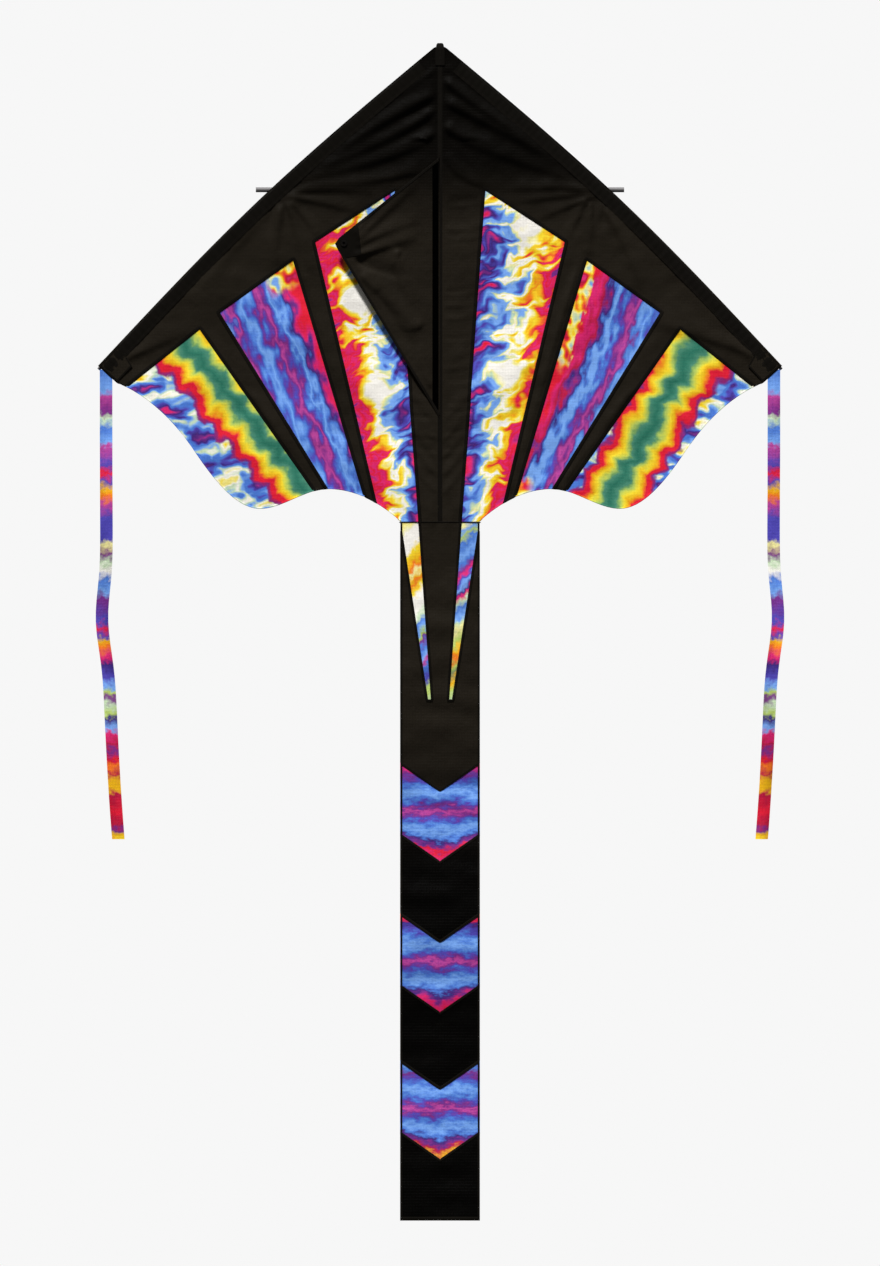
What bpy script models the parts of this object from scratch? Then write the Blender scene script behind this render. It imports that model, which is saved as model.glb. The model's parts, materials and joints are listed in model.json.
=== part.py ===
"""A delta kite with a black and tie-dye sail, a keel, a long tail and two wingtip streamers.

Frame, in metres: +Z up, the keel side faces -Y, and the kite is symmetric about X = 0 except for its
keel, which rests flopped over to -X. The origin is the centre of the nose webbing's front face.
Places on the sail are given as (x, down): down is the distance below the nose tip.
"""

import math

import bmesh
import bpy
from mathutils import Matrix, Vector

# ---------------------------------------------------------------- driving dimensions, in metres
HALF_SPAN = 0.584
TIP_DOWN = 0.552
LEADING_EDGE_BOW = 0.017  # how far the spreader pushes the middle of a leading edge out of straight
SAIL_END_DOWN = 0.8185
TAIL_HALF_WIDTH = 0.0675
TAIL_END_DOWN = 2.013
NOSE_TIP_Z = 0.020  # the nose tip stands this far above the origin
CLOTH = 0.0008  # thickness of the sailcloth, as modelled
TAPE = 0.0006  # thickness of pocket tape and patches
GAP = 0.0004  # between pieces that lie on or beside each other
FLEX_GAP = 0.0005  # from a cloth hinge line to the cloth on each side of it

# The trailing edge, from tail to wingtip: x, down, and the slope of down over x.
TRAILING_EDGE = (
    (0.068, 0.818, -0.9),
    (0.192, 0.763, 0.0),
    (0.308, 0.797, 0.0),
    (0.419, 0.700, -1.5),
    (0.552, 0.581, -0.45),
)

# Tie-dye panels: top corners (x, down), then the x where each side reaches the trailing edge.
INNER_TOP = ((0.077, 0.251), (0.214, 0.340))
INNER_FOOT_X = 0.108
MIDDLE_TOP = ((0.251, 0.371), (0.377, 0.461))
MIDDLE_FOOT_X = (0.130, 0.1915)
OUTER_TOP = (0.411, 0.489)
OUTER_TIP_X = 0.536
OUTER_FOOT_X = 0.216
SLIVER_TIP = ((0.015, 1.123), (0.021, 1.123))  # inner and outer corner of the tail slivers' points

# Frame rods and their fittings.
SPINE_RADIUS = 0.0020
SPINE_CAP_RADIUS = 0.0028
SPREADER_RADIUS = 0.0020
EDGE_ROD_RADIUS = 0.00175
SPREADER_DOWN = 0.251
TUBE_RADIUS = 0.0042
TUBE_BORE = 0.00215
TUBE_REACH_OUT = 0.031  # from the leading edge rod to the fitting's outer end
TUBE_REACH_IN = 0.029
EDGE_POCKET_WIDTH = 0.024
EDGE_POCKET_BULGE = 0.0035  # radius of the pocket round its rod
EDGE_ROD_START = 0.10  # as shares of the leading edge, from the nose
EDGE_POCKET_START = 0.05
EDGE_POCKET_END = 0.985
CUTOUT_ABOVE = 0.036  # the pocket stops this far above and below the fitting
CUTOUT_BELOW = 0.013
SPINE_CUTOUT = 0.012  # the spine pocket stops this far above and below the connector
EDGE_CAP_RADIUS = 0.0029
EDGE_CAP_LENGTH = 0.016
EDGE_CAP_END = 0.004  # thickness of the closed end
SPINE_CAP_LENGTH = 0.0065
SPINE_CAP_END = 0.0020
CAP_BEVEL = 0.0006
ROD_FIT = 0.0003  # a rod's clearance in the hole it goes through
SPREADER_END_CLEARANCE = 0.0015  # from the leading edge rod to the spreader's outer end
SPINE_FLANGE_X = 0.0105  # half the width of the spine pocket
SPINE_POCKET_TOP_DOWN = 0.009
SPINE_POCKET_FOOT_DOWN = 0.8085
FLANGE_TURN = 0.0006  # between the round of the spine pocket and its flat flange
NOSE_WEBBING_X = 0.008  # half its width below the taper
NOSE_WEBBING_TIP_X = 0.0036  # half its width at the nose
NOSE_WEBBING_DOWN = (0.038, 0.034)  # how far it reaches in front and behind
NOSE_WEBBING_ROUND = (0.0012, 0.0016)  # the bevel at its fold, across and down
SPREADER_SHORT = 0.0105  # the rods stop this far outside the fold, so that they clear the connector

# Joints.
FOLD_TOP_X = 0.012  # each wing folds about a line from beside the nose to the tail's corner
FOLD_FOOT_X = 0.0668
FOLD_GAP = 0.0005
KEEL_REST = math.radians(4)  # the flopped keel stands this far off the wing under it

# Keel.
KEEL_TOP_DOWN = 0.195
KEEL_FOOT_DOWN = 0.641
TOW_POINT = (0.171, 0.342)  # out from the keel's hinge line, and down
GROMMET_HOLE = 0.0024
GROMMET_BARREL = 0.0034
GROMMET_FLANGE = 0.0056

# Tail and streamers.
TAIL_HINGES = (0.819, 1.176, 1.446, 1.698)
CHEVRON_TOPS = (1.2295, 1.4877, 1.7390)  # down to each band's top corners
CHEVRON_HEIGHT = 0.126
CHEVRON_DEPTH = 0.047
STREAMER_WIDTH = 0.0215
STREAMER_X = 0.571
STREAMER_TOP_DOWN = 0.580
STREAMER_LENGTH = 0.782
STREAMER_PARTS = 3

# Depths, along Y, measured from the nose webbing's front face.
WEBBING = 0.0008
SAIL_Y = WEBBING + GAP + CLOTH / 2
SAIL_BACK = SAIL_Y + CLOTH / 2
ROD_Y = SAIL_BACK + GAP + TUBE_RADIUS  # every rod lies in this plane, so the fittings clear the cloth
SPINE_POCKET_BACK = ROD_Y + SPINE_RADIUS + GAP + TAPE
KEEL_Y = SAIL_Y - CLOTH / 2 - 0.0008

BLACK = (0.012, 0.011, 0.010)
MATERIALS = {
    "black_sailcloth": (BLACK, 0.55, 0.0),
    "black_tape": ((0.006, 0.006, 0.006), 0.7, 0.0),
    "tie_dye_cloth": ((0.25, 0.16, 0.55), 0.6, 0.0),
    "black_fibreglass": ((0.02, 0.02, 0.022), 0.35, 0.0),
    "grey_vinyl": ((0.09, 0.088, 0.09), 0.45, 0.0),
    "blackened_brass": ((0.05, 0.048, 0.045), 0.35, 1.0),
}


# ---------------------------------------------------------------- scene and objects
def clear_scene():
    for obj in list(bpy.data.objects):
        bpy.data.objects.remove(obj)


def new_collection(name):
    collection = bpy.data.collections.new(name)
    bpy.context.scene.collection.children.link(collection)
    return collection


def make_materials():
    made = {}
    for name, (colour, roughness, metallic) in MATERIALS.items():
        material = bpy.data.materials.new(name)
        material.use_nodes = True
        shader = material.node_tree.nodes["Principled BSDF"]
        shader.inputs["Base Color"].default_value = (*colour, 1.0)
        shader.inputs["Roughness"].default_value = roughness
        shader.inputs["Metallic"].default_value = metallic
        material.diffuse_color = (*colour, 1.0)
        made[name] = material
    return made


def place(obj, material, parent):
    """Puts a finished object in the kite's collection, on its body's empty, where it already stands."""
    obj.data.materials.clear()
    obj.data.materials.append(PAINT[material])
    KITE.objects.link(obj)
    obj.parent = parent
    obj.matrix_parent_inverse = parent.matrix_world.inverted()
    return obj


def body_empty(name, location, parent=None, turn=0.0):
    """An empty on a joint's axis, which carries one moving body."""
    empty = bpy.data.objects.new(name, None)
    empty.empty_display_size = 0.03
    KITE.objects.link(empty)
    world = Matrix.Translation(location) @ Matrix.Rotation(turn, 4, "Z")
    if parent is not None:
        empty.parent = parent
        empty.matrix_parent_inverse = parent.matrix_world.inverted()
    empty.matrix_basis = world
    bpy.context.view_layer.update()
    return empty


# ---------------------------------------------------------------- shapes of the sail
def height(down):
    return NOSE_TIP_Z - down


def leading_edge(s):
    """(x, down) on the right leading edge at share s of its length: a rod pushed outwards at its middle."""
    chord = Vector((HALF_SPAN, TIP_DOWN))
    outward = Vector((TIP_DOWN, -HALF_SPAN)) / chord.length
    near = min(s, 1 - s)
    return chord * s + outward * LEADING_EDGE_BOW * (3 * near - 4 * near**3)


def leading_edge_frame(s):
    """The edge's direction towards the tip, and the direction into the sail, as (x, down)."""
    step = 0.001
    along = (leading_edge(min(s + step, 1)) - leading_edge(max(s - step, 0))).normalized()
    return along, Vector((-along.y, along.x))


def inside_leading_edge(s, inset):
    return leading_edge(s) + leading_edge_frame(s)[1] * inset


def leading_edge_share(test):
    """The share of the leading edge where test, a function of s that grows with s, passes zero."""
    low, high = 0.0, 1.0
    for _ in range(50):
        middle = (low + high) / 2
        low, high = (middle, high) if test(middle) < 0 else (low, middle)
    return low


def trailing_edge(x):
    """Down to the trailing edge at x, by cubic pieces through TRAILING_EDGE."""
    for (x0, d0, m0), (x1, d1, m1) in zip(TRAILING_EDGE, TRAILING_EDGE[1:]):
        if x <= x1 or x1 == TRAILING_EDGE[-1][0]:
            t, width = (x - x0) / (x1 - x0), x1 - x0
            rise = (2 * t**3 - 3 * t**2 + 1) * d0 + (3 * t**2 - 2 * t**3) * d1
            return rise + width * ((t**3 - 2 * t**2 + t) * m0 + (t**3 - t**2) * m1)
    raise ValueError("the trailing edge has no pieces")


def trailing_run(x_from, x_to):
    """Points along the trailing edge between two x, both ends included."""
    count = max(2, round(abs(x_to - x_from) / 0.010))
    steps = [x_from + (x_to - x_from) * i / count for i in range(count + 1)]
    return [(x, trailing_edge(x)) for x in steps]


def inner_edge_x(down):
    """x of the straight edge between the middle strip and the inner tie-dye."""
    (x0, d0), (x1, d1) = INNER_TOP[0], SLIVER_TIP[0]
    return x0 + (x1 - x0) * (down - d0) / (d1 - d0)


def fold_x(down):
    return FOLD_TOP_X + (FOLD_FOOT_X - FOLD_TOP_X) * down / SAIL_END_DOWN


def fold_crossing():
    """(x, down) where the fold line runs into the inner tie-dye's straight edge."""
    low, high = INNER_TOP[0][1], SAIL_END_DOWN
    for _ in range(50):
        middle = (low + high) / 2
        low, high = (middle, high) if fold_x(middle) < inner_edge_x(middle) else (low, middle)
    return fold_x(low), low


def inset(outline, gap):
    """The outline drawn in by gap on every side."""
    points = [Vector(p) for p in outline]
    area = sum(a.x * b.y - b.x * a.y for a, b in zip(points, points[1:] + points[:1]))
    turn = 1 if area > 0 else -1
    drawn = []
    for i, point in enumerate(points):
        before = (point - points[i - 1]).normalized()
        after = (points[(i + 1) % len(points)] - point).normalized()
        side_a = Vector((-before.y, before.x)) * turn
        side_b = Vector((-after.y, after.x)) * turn
        middle = (side_a + side_b).normalized()
        drawn.append(tuple(point + middle * gap / max(0.3, middle.dot(side_a))))
    return drawn


def mirrored(outline, side):
    return [(side * x, down) for x, down in outline]


# ---------------------------------------------------------------- ways of making a piece
def flat_curve(name, loops, thickness):
    """A 2D curve filled between its loops of (x, height) and extruded to a thickness."""
    curve = bpy.data.curves.new(name, "CURVE")
    curve.dimensions = "2D"
    curve.fill_mode = "BOTH"
    curve.extrude = thickness / 2
    for loop in loops:
        spline = curve.splines.new("POLY")
        spline.points.add(len(loop) - 1)
        for point, (x, z) in zip(spline.points, loop):
            point.co = (x, z, 0, 1)
        spline.use_cyclic_u = True
    obj = bpy.data.objects.new(name, curve)
    obj.rotation_euler = (math.radians(90), 0, 0)
    return obj


def cloth(name, outline, material, parent, y=SAIL_Y, thickness=CLOTH):
    """A flat piece of cloth standing in the sail's plane, from an outline of (x, down)."""
    obj = flat_curve(name, [[(x, height(down)) for x, down in outline]], thickness)
    obj.location = (0, y, 0)
    return place(obj, material, parent)


def shell(name, sections, thickness, material, parent):
    """Tape or cloth bent to a shape: a loft through rows of points, thickened with Solidify."""
    mesh = bmesh.new()
    rows = [[mesh.verts.new(point) for point in row] for row in sections]
    for low, high in zip(rows, rows[1:]):
        for a, b, c, d in zip(low, low[1:], high[1:], high):
            mesh.faces.new((a, b, c, d))
    bmesh.ops.recalc_face_normals(mesh, faces=mesh.faces)
    data = bpy.data.meshes.new(name)
    mesh.to_mesh(data)
    mesh.free()
    obj = bpy.data.objects.new(name, data)
    solid = obj.modifiers.new("thickness", "SOLIDIFY")
    solid.thickness = thickness
    solid.offset = 0
    solid.use_even_offset = True
    return place(obj, material, parent)


def turned(name, profile, start, end, steps=16):
    """A round piece on the line from start towards end, from its profile of (radius, distance)."""
    data = bpy.data.meshes.new(name)
    edges = [(i, (i + 1) % len(profile)) for i in range(len(profile))]
    on_axis = [radius == 0 for radius, _ in profile]
    edges = [(a, b) for a, b in edges if not (on_axis[a] and on_axis[b])]
    data.from_pydata([(radius, 0, along) for radius, along in profile], edges, [])
    obj = bpy.data.objects.new(name, data)
    screw = obj.modifiers.new("turn", "SCREW")
    screw.steps = screw.render_steps = steps
    screw.use_merge_vertices = True
    screw.merge_threshold = 0.00001
    obj.location = start
    obj.rotation_mode = "QUATERNION"
    obj.rotation_quaternion = (Vector(end) - Vector(start)).to_track_quat("Z", "Y")
    return obj


def rod_profile(radius, length, ends=4):
    """A rod with half-round ends, from its far end to its near end."""
    turns = [math.pi / 2 * i / ends for i in range(ends + 1)]
    far = [(radius * math.sin(a), length - radius + radius * math.cos(a)) for a in turns]
    near = [(radius * math.sin(a), radius - radius * math.cos(a)) for a in reversed(turns)]
    return [(0 if r < 1e-9 else r, z) for r, z in far + near]


def tube_profile(radius, bore, length):
    return [(radius, length), (radius, 0), (bore, 0), (bore, length)]


def cap_profile(radius, bore, length, end):
    """A cup that is closed at distance zero and open at its length."""
    outside = [(radius, length), (radius, CAP_BEVEL), (radius - CAP_BEVEL, 0), (0, 0)]
    return outside + [(0, end), (bore, end), (bore, length)]


def rod_through(name, points, radius, material, parent):
    """A bent rod: a curve with a round bevel through points."""
    curve = bpy.data.curves.new(name, "CURVE")
    curve.dimensions = "3D"
    curve.bevel_depth = radius
    curve.bevel_resolution = 2
    curve.use_fill_caps = True
    spline = curve.splines.new("POLY")
    spline.points.add(len(points) - 1)
    for point, place_at in zip(spline.points, points):
        point.co = (*place_at, 1)
    return place(bpy.data.objects.new(name, curve), material, parent)


# ---------------------------------------------------------------- the middle of the kite
def spine_and_nose(parent):
    foot = height(SAIL_END_DOWN - 0.003)
    top = height(0.010)
    length = top - foot
    start, end = Vector((0, ROD_Y, foot)), Vector((0, ROD_Y, top))
    place(turned("spine_rod", rod_profile(SPINE_RADIUS, length), start, end), "black_fibreglass", parent)

    edge_share = leading_edge_share(lambda s: leading_edge(s).x - fold_x(leading_edge(s).y) + FOLD_GAP)
    edge_down = leading_edge(edge_share).y
    crossing_x, crossing_down = fold_crossing()
    half_strip = [
        (0.008, 0.0075),
        (fold_x(edge_down) - FOLD_GAP, edge_down),
        (crossing_x - FOLD_GAP, crossing_down),
        (inner_edge_x(SAIL_END_DOWN), SAIL_END_DOWN),
    ]
    strip = half_strip + [(-x, down) for x, down in reversed(half_strip)]
    cloth("centre_strip", strip, "black_sailcloth", parent)
    root_top = crossing_down + 0.010
    root = [
        ((inner_edge_x(root_top) + fold_x(root_top)) / 2, root_top),
        (FOLD_FOOT_X - FOLD_GAP, SAIL_END_DOWN),
        (inner_edge_x(SAIL_END_DOWN) + GAP, SAIL_END_DOWN),
    ]
    for side, word in SIDES:
        cloth(f"tie_dye_root_{word}", mirrored(root, side), "tie_dye_cloth", parent)

    # The spine pocket is a hat section of tape over the rod, sewn down along both flanges.
    flange_y = SAIL_BACK + GAP + TAPE / 2
    crown = SPINE_RADIUS + GAP + TAPE / 2
    turns = [math.pi * i / 8 for i in range(9)]
    hat = [(-SPINE_FLANGE_X, flange_y), (-crown - FLANGE_TURN, flange_y)]
    hat += [(-crown * math.cos(a), ROD_Y + crown * math.sin(a)) for a in turns]
    hat += [(crown + FLANGE_TURN, flange_y), (SPINE_FLANGE_X, flange_y)]
    above, below = SPREADER_DOWN - SPINE_CUTOUT, SPREADER_DOWN + SPINE_CUTOUT
    lengths = (("upper", SPINE_POCKET_TOP_DOWN, above), ("lower", below, SPINE_POCKET_FOOT_DOWN))
    for part, top_down, foot_down in lengths:
        rows = [[(x, y, height(down)) for x, y in hat] for down in (top_down, foot_down)]
        shell(f"spine_pocket_{part}", rows, TAPE, "black_tape", parent)

    # Webbing folded over the nose, front and back of the strip and the pocket.
    front, back = WEBBING / 2, SPINE_POCKET_BACK + GAP + WEBBING / 2
    taper_end = NOSE_WEBBING_X - NOSE_WEBBING_TIP_X
    bevel, bevel_down = NOSE_WEBBING_ROUND
    over = [(front, NOSE_WEBBING_DOWN[0]), (front, taper_end), (front, bevel_down)]
    over += [(front + bevel, WEBBING / 2), (back - bevel, WEBBING / 2)]
    over += [(back, bevel_down), (back, taper_end), (back, NOSE_WEBBING_DOWN[1])]
    halves = [min(NOSE_WEBBING_X, NOSE_WEBBING_TIP_X + down) for _, down in over]
    rows = [[(end * half, y, height(down)) for half, (y, down) in zip(halves, over)] for end in (-1, 1)]
    shell("nose_webbing", rows, WEBBING, "black_tape", parent)

    cap = cap_profile(SPINE_CAP_RADIUS, SPINE_RADIUS + ROD_FIT, SPINE_CAP_LENGTH, SPINE_CAP_END)
    cap_start = start - Vector((0, 0, SPINE_CAP_END + GAP))
    place(turned("spine_foot_cap", cap, cap_start, end), "grey_vinyl", parent)


def spreader_connector(parent):
    """The vinyl tube on the spine that the two halves of the spreader run out from."""
    z = height(SPREADER_DOWN)
    half = fold_x(SPREADER_DOWN) - FOLD_GAP
    tube = tube_profile(TUBE_RADIUS, TUBE_BORE, 2 * half)
    connector = turned("spreader_connector", tube, (-half, ROD_Y, z), (half, ROD_Y, z), 24)
    place(connector, "grey_vinyl", parent)
    cut_rod_hole(connector, (0, ROD_Y, z), Vector((0, 0, 1)), SPINE_RADIUS + ROD_FIT)


def cut_rod_hole(tube, centre, direction, radius):
    """Cuts the crosswise hole in a vinyl tube that a rod passes through."""
    bpy.ops.mesh.primitive_cylinder_add(radius=radius, depth=0.04, vertices=24)
    cutter = bpy.context.object
    cutter.name = f"{tube.name}_cutter"
    cutter.location = centre
    cutter.rotation_mode = "QUATERNION"
    cutter.rotation_quaternion = direction.to_track_quat("Z", "Y")
    cutter.hide_render = True
    cutter.display_type = "WIRE"
    for collection in list(cutter.users_collection):
        collection.objects.unlink(cutter)
    CUTTERS.objects.link(cutter)
    hole = tube.modifiers.new("rod hole", "BOOLEAN")
    hole.operation = "DIFFERENCE"
    hole.object = cutter


# ---------------------------------------------------------------- keel
def keel(parent):
    """The keel, its tip patches and its grommet, flopped over to -X about its hinge line."""
    out, down = TOW_POINT
    start = 0.0008
    corners = [
        (start, KEEL_TOP_DOWN),
        (start, KEEL_FOOT_DOWN),
        (out + 0.004, down + 0.012),
        (out + 0.009, down + 0.001),
        (out + 0.002, down - 0.009),
    ]
    eye = (out - 0.006, down)

    def standing(name, outline, thickness, hole, layer, material):
        """A flat piece in the keel's own plane, set off from it by layer, with a round hole at the eye."""
        turns = [2 * math.pi * i / 20 for i in range(20)]
        ring = [(eye[0] + hole * math.cos(a), height(eye[1]) + hole * math.sin(a)) for a in turns]
        outside = [(x, height(d)) for x, d in outline]
        obj = flat_curve(name, [outside, ring], thickness)
        turn = Matrix.Rotation(math.pi + KEEL_REST, 4, "Z")
        offset = Matrix.Translation((0, layer, 0))
        flat = Matrix.Rotation(math.radians(90), 4, "X")
        obj.matrix_basis = Matrix.Translation((0, KEEL_Y, 0)) @ turn @ offset @ flat
        return place(obj, material, parent)

    hole = GROMMET_BARREL + GAP
    standing("keel_panel", corners, TAPE, hole, 0, "black_sailcloth")
    patch = [
        (out - 0.030, down - 0.033),
        (out - 0.036, down + 0.020),
        (out - 0.006, down + 0.026),
        (out + 0.003, down + 0.011),
        (out + 0.0075, down + 0.001),
        (out + 0.0015, down - 0.0075),
    ]
    layer = TAPE + GAP
    standing("keel_tip_patch_front", patch, TAPE, hole, layer, "black_tape")
    standing("keel_tip_patch_back", patch, TAPE, hole, -layer, "black_tape")

    reach = 1.5 * TAPE + 2 * GAP
    lip = 0.0006
    profile = [
        (GROMMET_HOLE, reach + lip),
        (GROMMET_FLANGE, reach + lip),
        (GROMMET_FLANGE, reach),
        (GROMMET_BARREL, reach),
        (GROMMET_BARREL, -reach),
        (GROMMET_FLANGE, -reach),
        (GROMMET_FLANGE, -reach - lip),
        (GROMMET_HOLE, -reach - lip),
    ]
    outwards = Vector((math.cos(math.pi + KEEL_REST), math.sin(math.pi + KEEL_REST), 0))
    normal = Vector((-outwards.y, outwards.x, 0))
    middle = Vector((0, KEEL_Y, height(eye[1]))) + outwards * eye[0]
    place(turned("tow_grommet", profile, middle, middle + normal, 24), "blackened_brass", parent)


# ---------------------------------------------------------------- a wing
def wing_cloth(side, word, parent):
    start = leading_edge_share(lambda s: leading_edge(s).x - fold_x(leading_edge(s).y) - FOLD_GAP)
    steps = 28
    edge = [tuple(leading_edge(start + (1 - start) * i / steps)) for i in range(steps + 1)]
    crossing_x, crossing_down = fold_crossing()
    above_crossing = crossing_down - 0.020
    black = edge + trailing_run(TRAILING_EDGE[-1][0], OUTER_TIP_X)
    black += [OUTER_TOP]
    black += trailing_run(OUTER_FOOT_X, MIDDLE_FOOT_X[1])
    black += [MIDDLE_TOP[1], MIDDLE_TOP[0]]
    black += trailing_run(MIDDLE_FOOT_X[0], INNER_FOOT_X)
    black += [INNER_TOP[1], INNER_TOP[0], (inner_edge_x(above_crossing), above_crossing)]
    black += [(fold_x(above_crossing) + FOLD_GAP, above_crossing)]
    cloth(f"wing_panel_{word}", mirrored(black, side), "black_sailcloth", parent)

    inner = [*INNER_TOP, *trailing_run(INNER_FOOT_X, TRAILING_EDGE[0][0])]
    inner += [(FOLD_FOOT_X + FOLD_GAP, SAIL_END_DOWN), (crossing_x + FOLD_GAP, crossing_down)]
    inner += [(inner_edge_x(above_crossing), above_crossing)]
    middle = [*MIDDLE_TOP, *trailing_run(MIDDLE_FOOT_X[1], MIDDLE_FOOT_X[0])]
    outer = [OUTER_TOP, *trailing_run(OUTER_TIP_X, OUTER_FOOT_X)]
    for name, outline in (("inner", inner), ("middle", middle), ("outer", outer)):
        panel = inset(mirrored(outline, side), GAP)
        cloth(f"tie_dye_{name}_{word}", panel, "tie_dye_cloth", parent)


def edge_pocket_profile():
    """Across the leading edge pocket: (into the sail, y), from its fold round the rod to its seam."""
    foot = SAIL_BACK + GAP + TAPE / 2
    bulge = EDGE_POCKET_BULGE
    centre = EDGE_ROD_INSET
    run, drop = EDGE_POCKET_WIDTH - centre, ROD_Y - foot
    leave = math.acos(bulge / math.hypot(run, drop)) - math.atan2(drop, run)
    turns = [math.pi + (leave - math.pi) * i / 7 for i in range(8)]
    round_rod = [(centre + bulge * math.cos(a), ROD_Y + bulge * math.sin(a)) for a in turns]
    return [(centre - bulge, foot), *round_rod, (EDGE_POCKET_WIDTH, foot)]


def wing_frame(side, word, parent):
    profile = edge_pocket_profile()

    def along_edge(s, points):
        places = [(inside_leading_edge(s, into), y) for into, y in points]
        return [(side * p.x, y, height(p.y)) for p, y in places]

    edge_length = Vector((HALF_SPAN, TIP_DOWN)).length
    above = CROSSING_SHARE - CUTOUT_ABOVE / edge_length
    below = CROSSING_SHARE + CUTOUT_BELOW / edge_length
    for part, s0, s1 in (("upper", EDGE_POCKET_START, above), ("lower", below, EDGE_POCKET_END)):
        rows = [along_edge(s0 + (s1 - s0) * i / 9, profile) for i in range(10)]
        shell(f"edge_pocket_{part}_{word}", rows, TAPE, "black_tape", parent)

    shares = [EDGE_ROD_START + (1 - EDGE_ROD_START) * i / 14 for i in range(15)]
    path = [along_edge(s, [(EDGE_ROD_INSET, ROD_Y)])[0] for s in shares]
    rod_through(f"edge_rod_{word}", path, EDGE_ROD_RADIUS, "black_fibreglass", parent)

    cap = cap_profile(EDGE_CAP_RADIUS, EDGE_ROD_RADIUS + ROD_FIT, EDGE_CAP_LENGTH, EDGE_CAP_END)
    for part, tip, next_point in (("nose", path[0], path[1]), ("tip", path[-1], path[-2])):
        back = (Vector(next_point) - Vector(tip)).normalized()
        start = Vector(tip) - back * (EDGE_CAP_END + CAP_BEVEL)
        place(turned(f"edge_rod_cap_{part}_{word}", cap, start, start + back), "grey_vinyl", parent)

    spreader(side, word, parent)
    wingtip(side, word, parent)


def spreader(side, word, parent):
    """Half the spreader, and the vinyl tube at its outer end that the leading edge rod goes through."""
    edge = inside_leading_edge(CROSSING_SHARE, EDGE_ROD_INSET)
    crossing = Vector((side * edge.x, ROD_Y, height(edge.y)))
    inwards = Vector((-side, 0, 0))
    start = crossing - inwards * TUBE_REACH_OUT
    tube = tube_profile(TUBE_RADIUS, TUBE_BORE, TUBE_REACH_OUT + TUBE_REACH_IN)
    fitting = turned(f"spreader_fitting_{word}", tube, start, start + inwards, 24)
    place(fitting, "grey_vinyl", parent)
    along = leading_edge_frame(CROSSING_SHARE)[0]
    cut_rod_hole(fitting, crossing, Vector((side * along.x, 0, -along.y)), EDGE_ROD_RADIUS + ROD_FIT)

    outer = crossing + inwards * (EDGE_ROD_RADIUS / along.y + SPREADER_END_CLEARANCE)
    inner = Vector((side * (fold_x(SPREADER_DOWN) + SPREADER_SHORT), ROD_Y, height(SPREADER_DOWN)))
    rod = turned(f"spreader_rod_{word}", rod_profile(SPREADER_RADIUS, (inner - outer).length), outer, inner)
    place(rod, "black_fibreglass", parent)


def wingtip(side, word, parent):
    """The reinforcing patch on the front of the wingtip, and the tab that the streamer hangs from."""
    tip = Vector((HALF_SPAN, TIP_DOWN))
    corner = Vector((TRAILING_EDGE[-1][0], TRAILING_EDGE[-1][1]))
    inner = inside_leading_edge(0.935, 0.0)
    patch = [tuple(tip), tuple(corner), tuple(corner + (inner - tip) * 0.75), tuple(inner)]
    y = SAIL_Y - CLOTH / 2 - GAP - TAPE / 2
    cloth(f"wingtip_patch_{word}", inset(mirrored(patch, side), 0.001), "black_tape", parent, y, TAPE)

    left, right = STREAMER_X - STREAMER_WIDTH / 2, STREAMER_X + STREAMER_WIDTH / 2
    slope = (corner.y - tip.y) / (corner.x - tip.x)
    foot = STREAMER_TOP_DOWN - FLEX_GAP
    tab = [(x, tip.y + slope * (x - tip.x) + GAP) for x in (left, right)]
    tab += [(right, foot), (left, foot)]
    cloth(f"streamer_tab_{word}", mirrored(tab, side), "black_tape", parent)


# ---------------------------------------------------------------- tail and streamers
def between_vs(top, top_depth, foot, foot_depth):
    """Tail cloth between two V-shaped edges: how far down their corners are, and how deep the Vs."""
    half = TAIL_HALF_WIDTH
    upper = [(-half, top), (0, top + top_depth), (half, top)]
    return upper + [(half, foot), (0, foot + foot_depth), (-half, foot)]


def tail_first_section(parent):
    """The black yoke, with a tie-dye point let into each side of it."""
    top, foot = TAIL_HINGES[0] + FLEX_GAP, TAIL_HINGES[1] - FLEX_GAP
    half = TAIL_HALF_WIDTH
    (in_x, tip_down), (out_x, _) = SLIVER_TIP
    shoulder = top + 0.016
    shoulder_x = half + (out_x - half) * (shoulder - top) / (tip_down - top)
    yoke = [
        (inner_edge_x(top), top),
        (in_x, tip_down),
        (out_x, tip_down),
        (shoulder_x, shoulder),
        (half, shoulder),
        (half, foot),
    ]
    yoke += [(-x, down) for x, down in reversed(yoke)]
    cloth("tail_yoke", yoke, "black_sailcloth", parent)
    sliver = [(inner_edge_x(top), top), (half, top), (out_x, tip_down), (in_x, tip_down)]
    for side, word in SIDES:
        outline = inset(mirrored(sliver, side), GAP)
        cloth(f"tail_point_{word}", outline, "tie_dye_cloth", parent)


def tail_section(number, parent):
    """A tie-dye chevron with black cloth above and below it."""
    top = TAIL_HINGES[number] + FLEX_GAP
    last = number == len(TAIL_HINGES) - 1
    foot = TAIL_END_DOWN if last else TAIL_HINGES[number + 1] - FLEX_GAP
    band_top = CHEVRON_TOPS[number - 1]
    band_foot = band_top + CHEVRON_HEIGHT
    above = between_vs(top, 0, band_top, CHEVRON_DEPTH)
    band = between_vs(band_top + GAP, CHEVRON_DEPTH, band_foot, CHEVRON_DEPTH)
    below = between_vs(band_foot + GAP, CHEVRON_DEPTH, foot, 0)
    cloth(f"tail_black_{number}_above", above, "black_sailcloth", parent)
    cloth(f"tail_chevron_{number}", band, "tie_dye_cloth", parent)
    cloth(f"tail_black_{number}_below", below, "black_sailcloth", parent)


def streamer_middle(share):
    """x of the streamer's centre line: straight, with a bulge at its middle, and drifting inwards below."""
    bulge = 0.010 * math.exp(-(((share - 0.52) / 0.09) ** 2))
    return STREAMER_X + bulge - 0.021 * share**3


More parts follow.
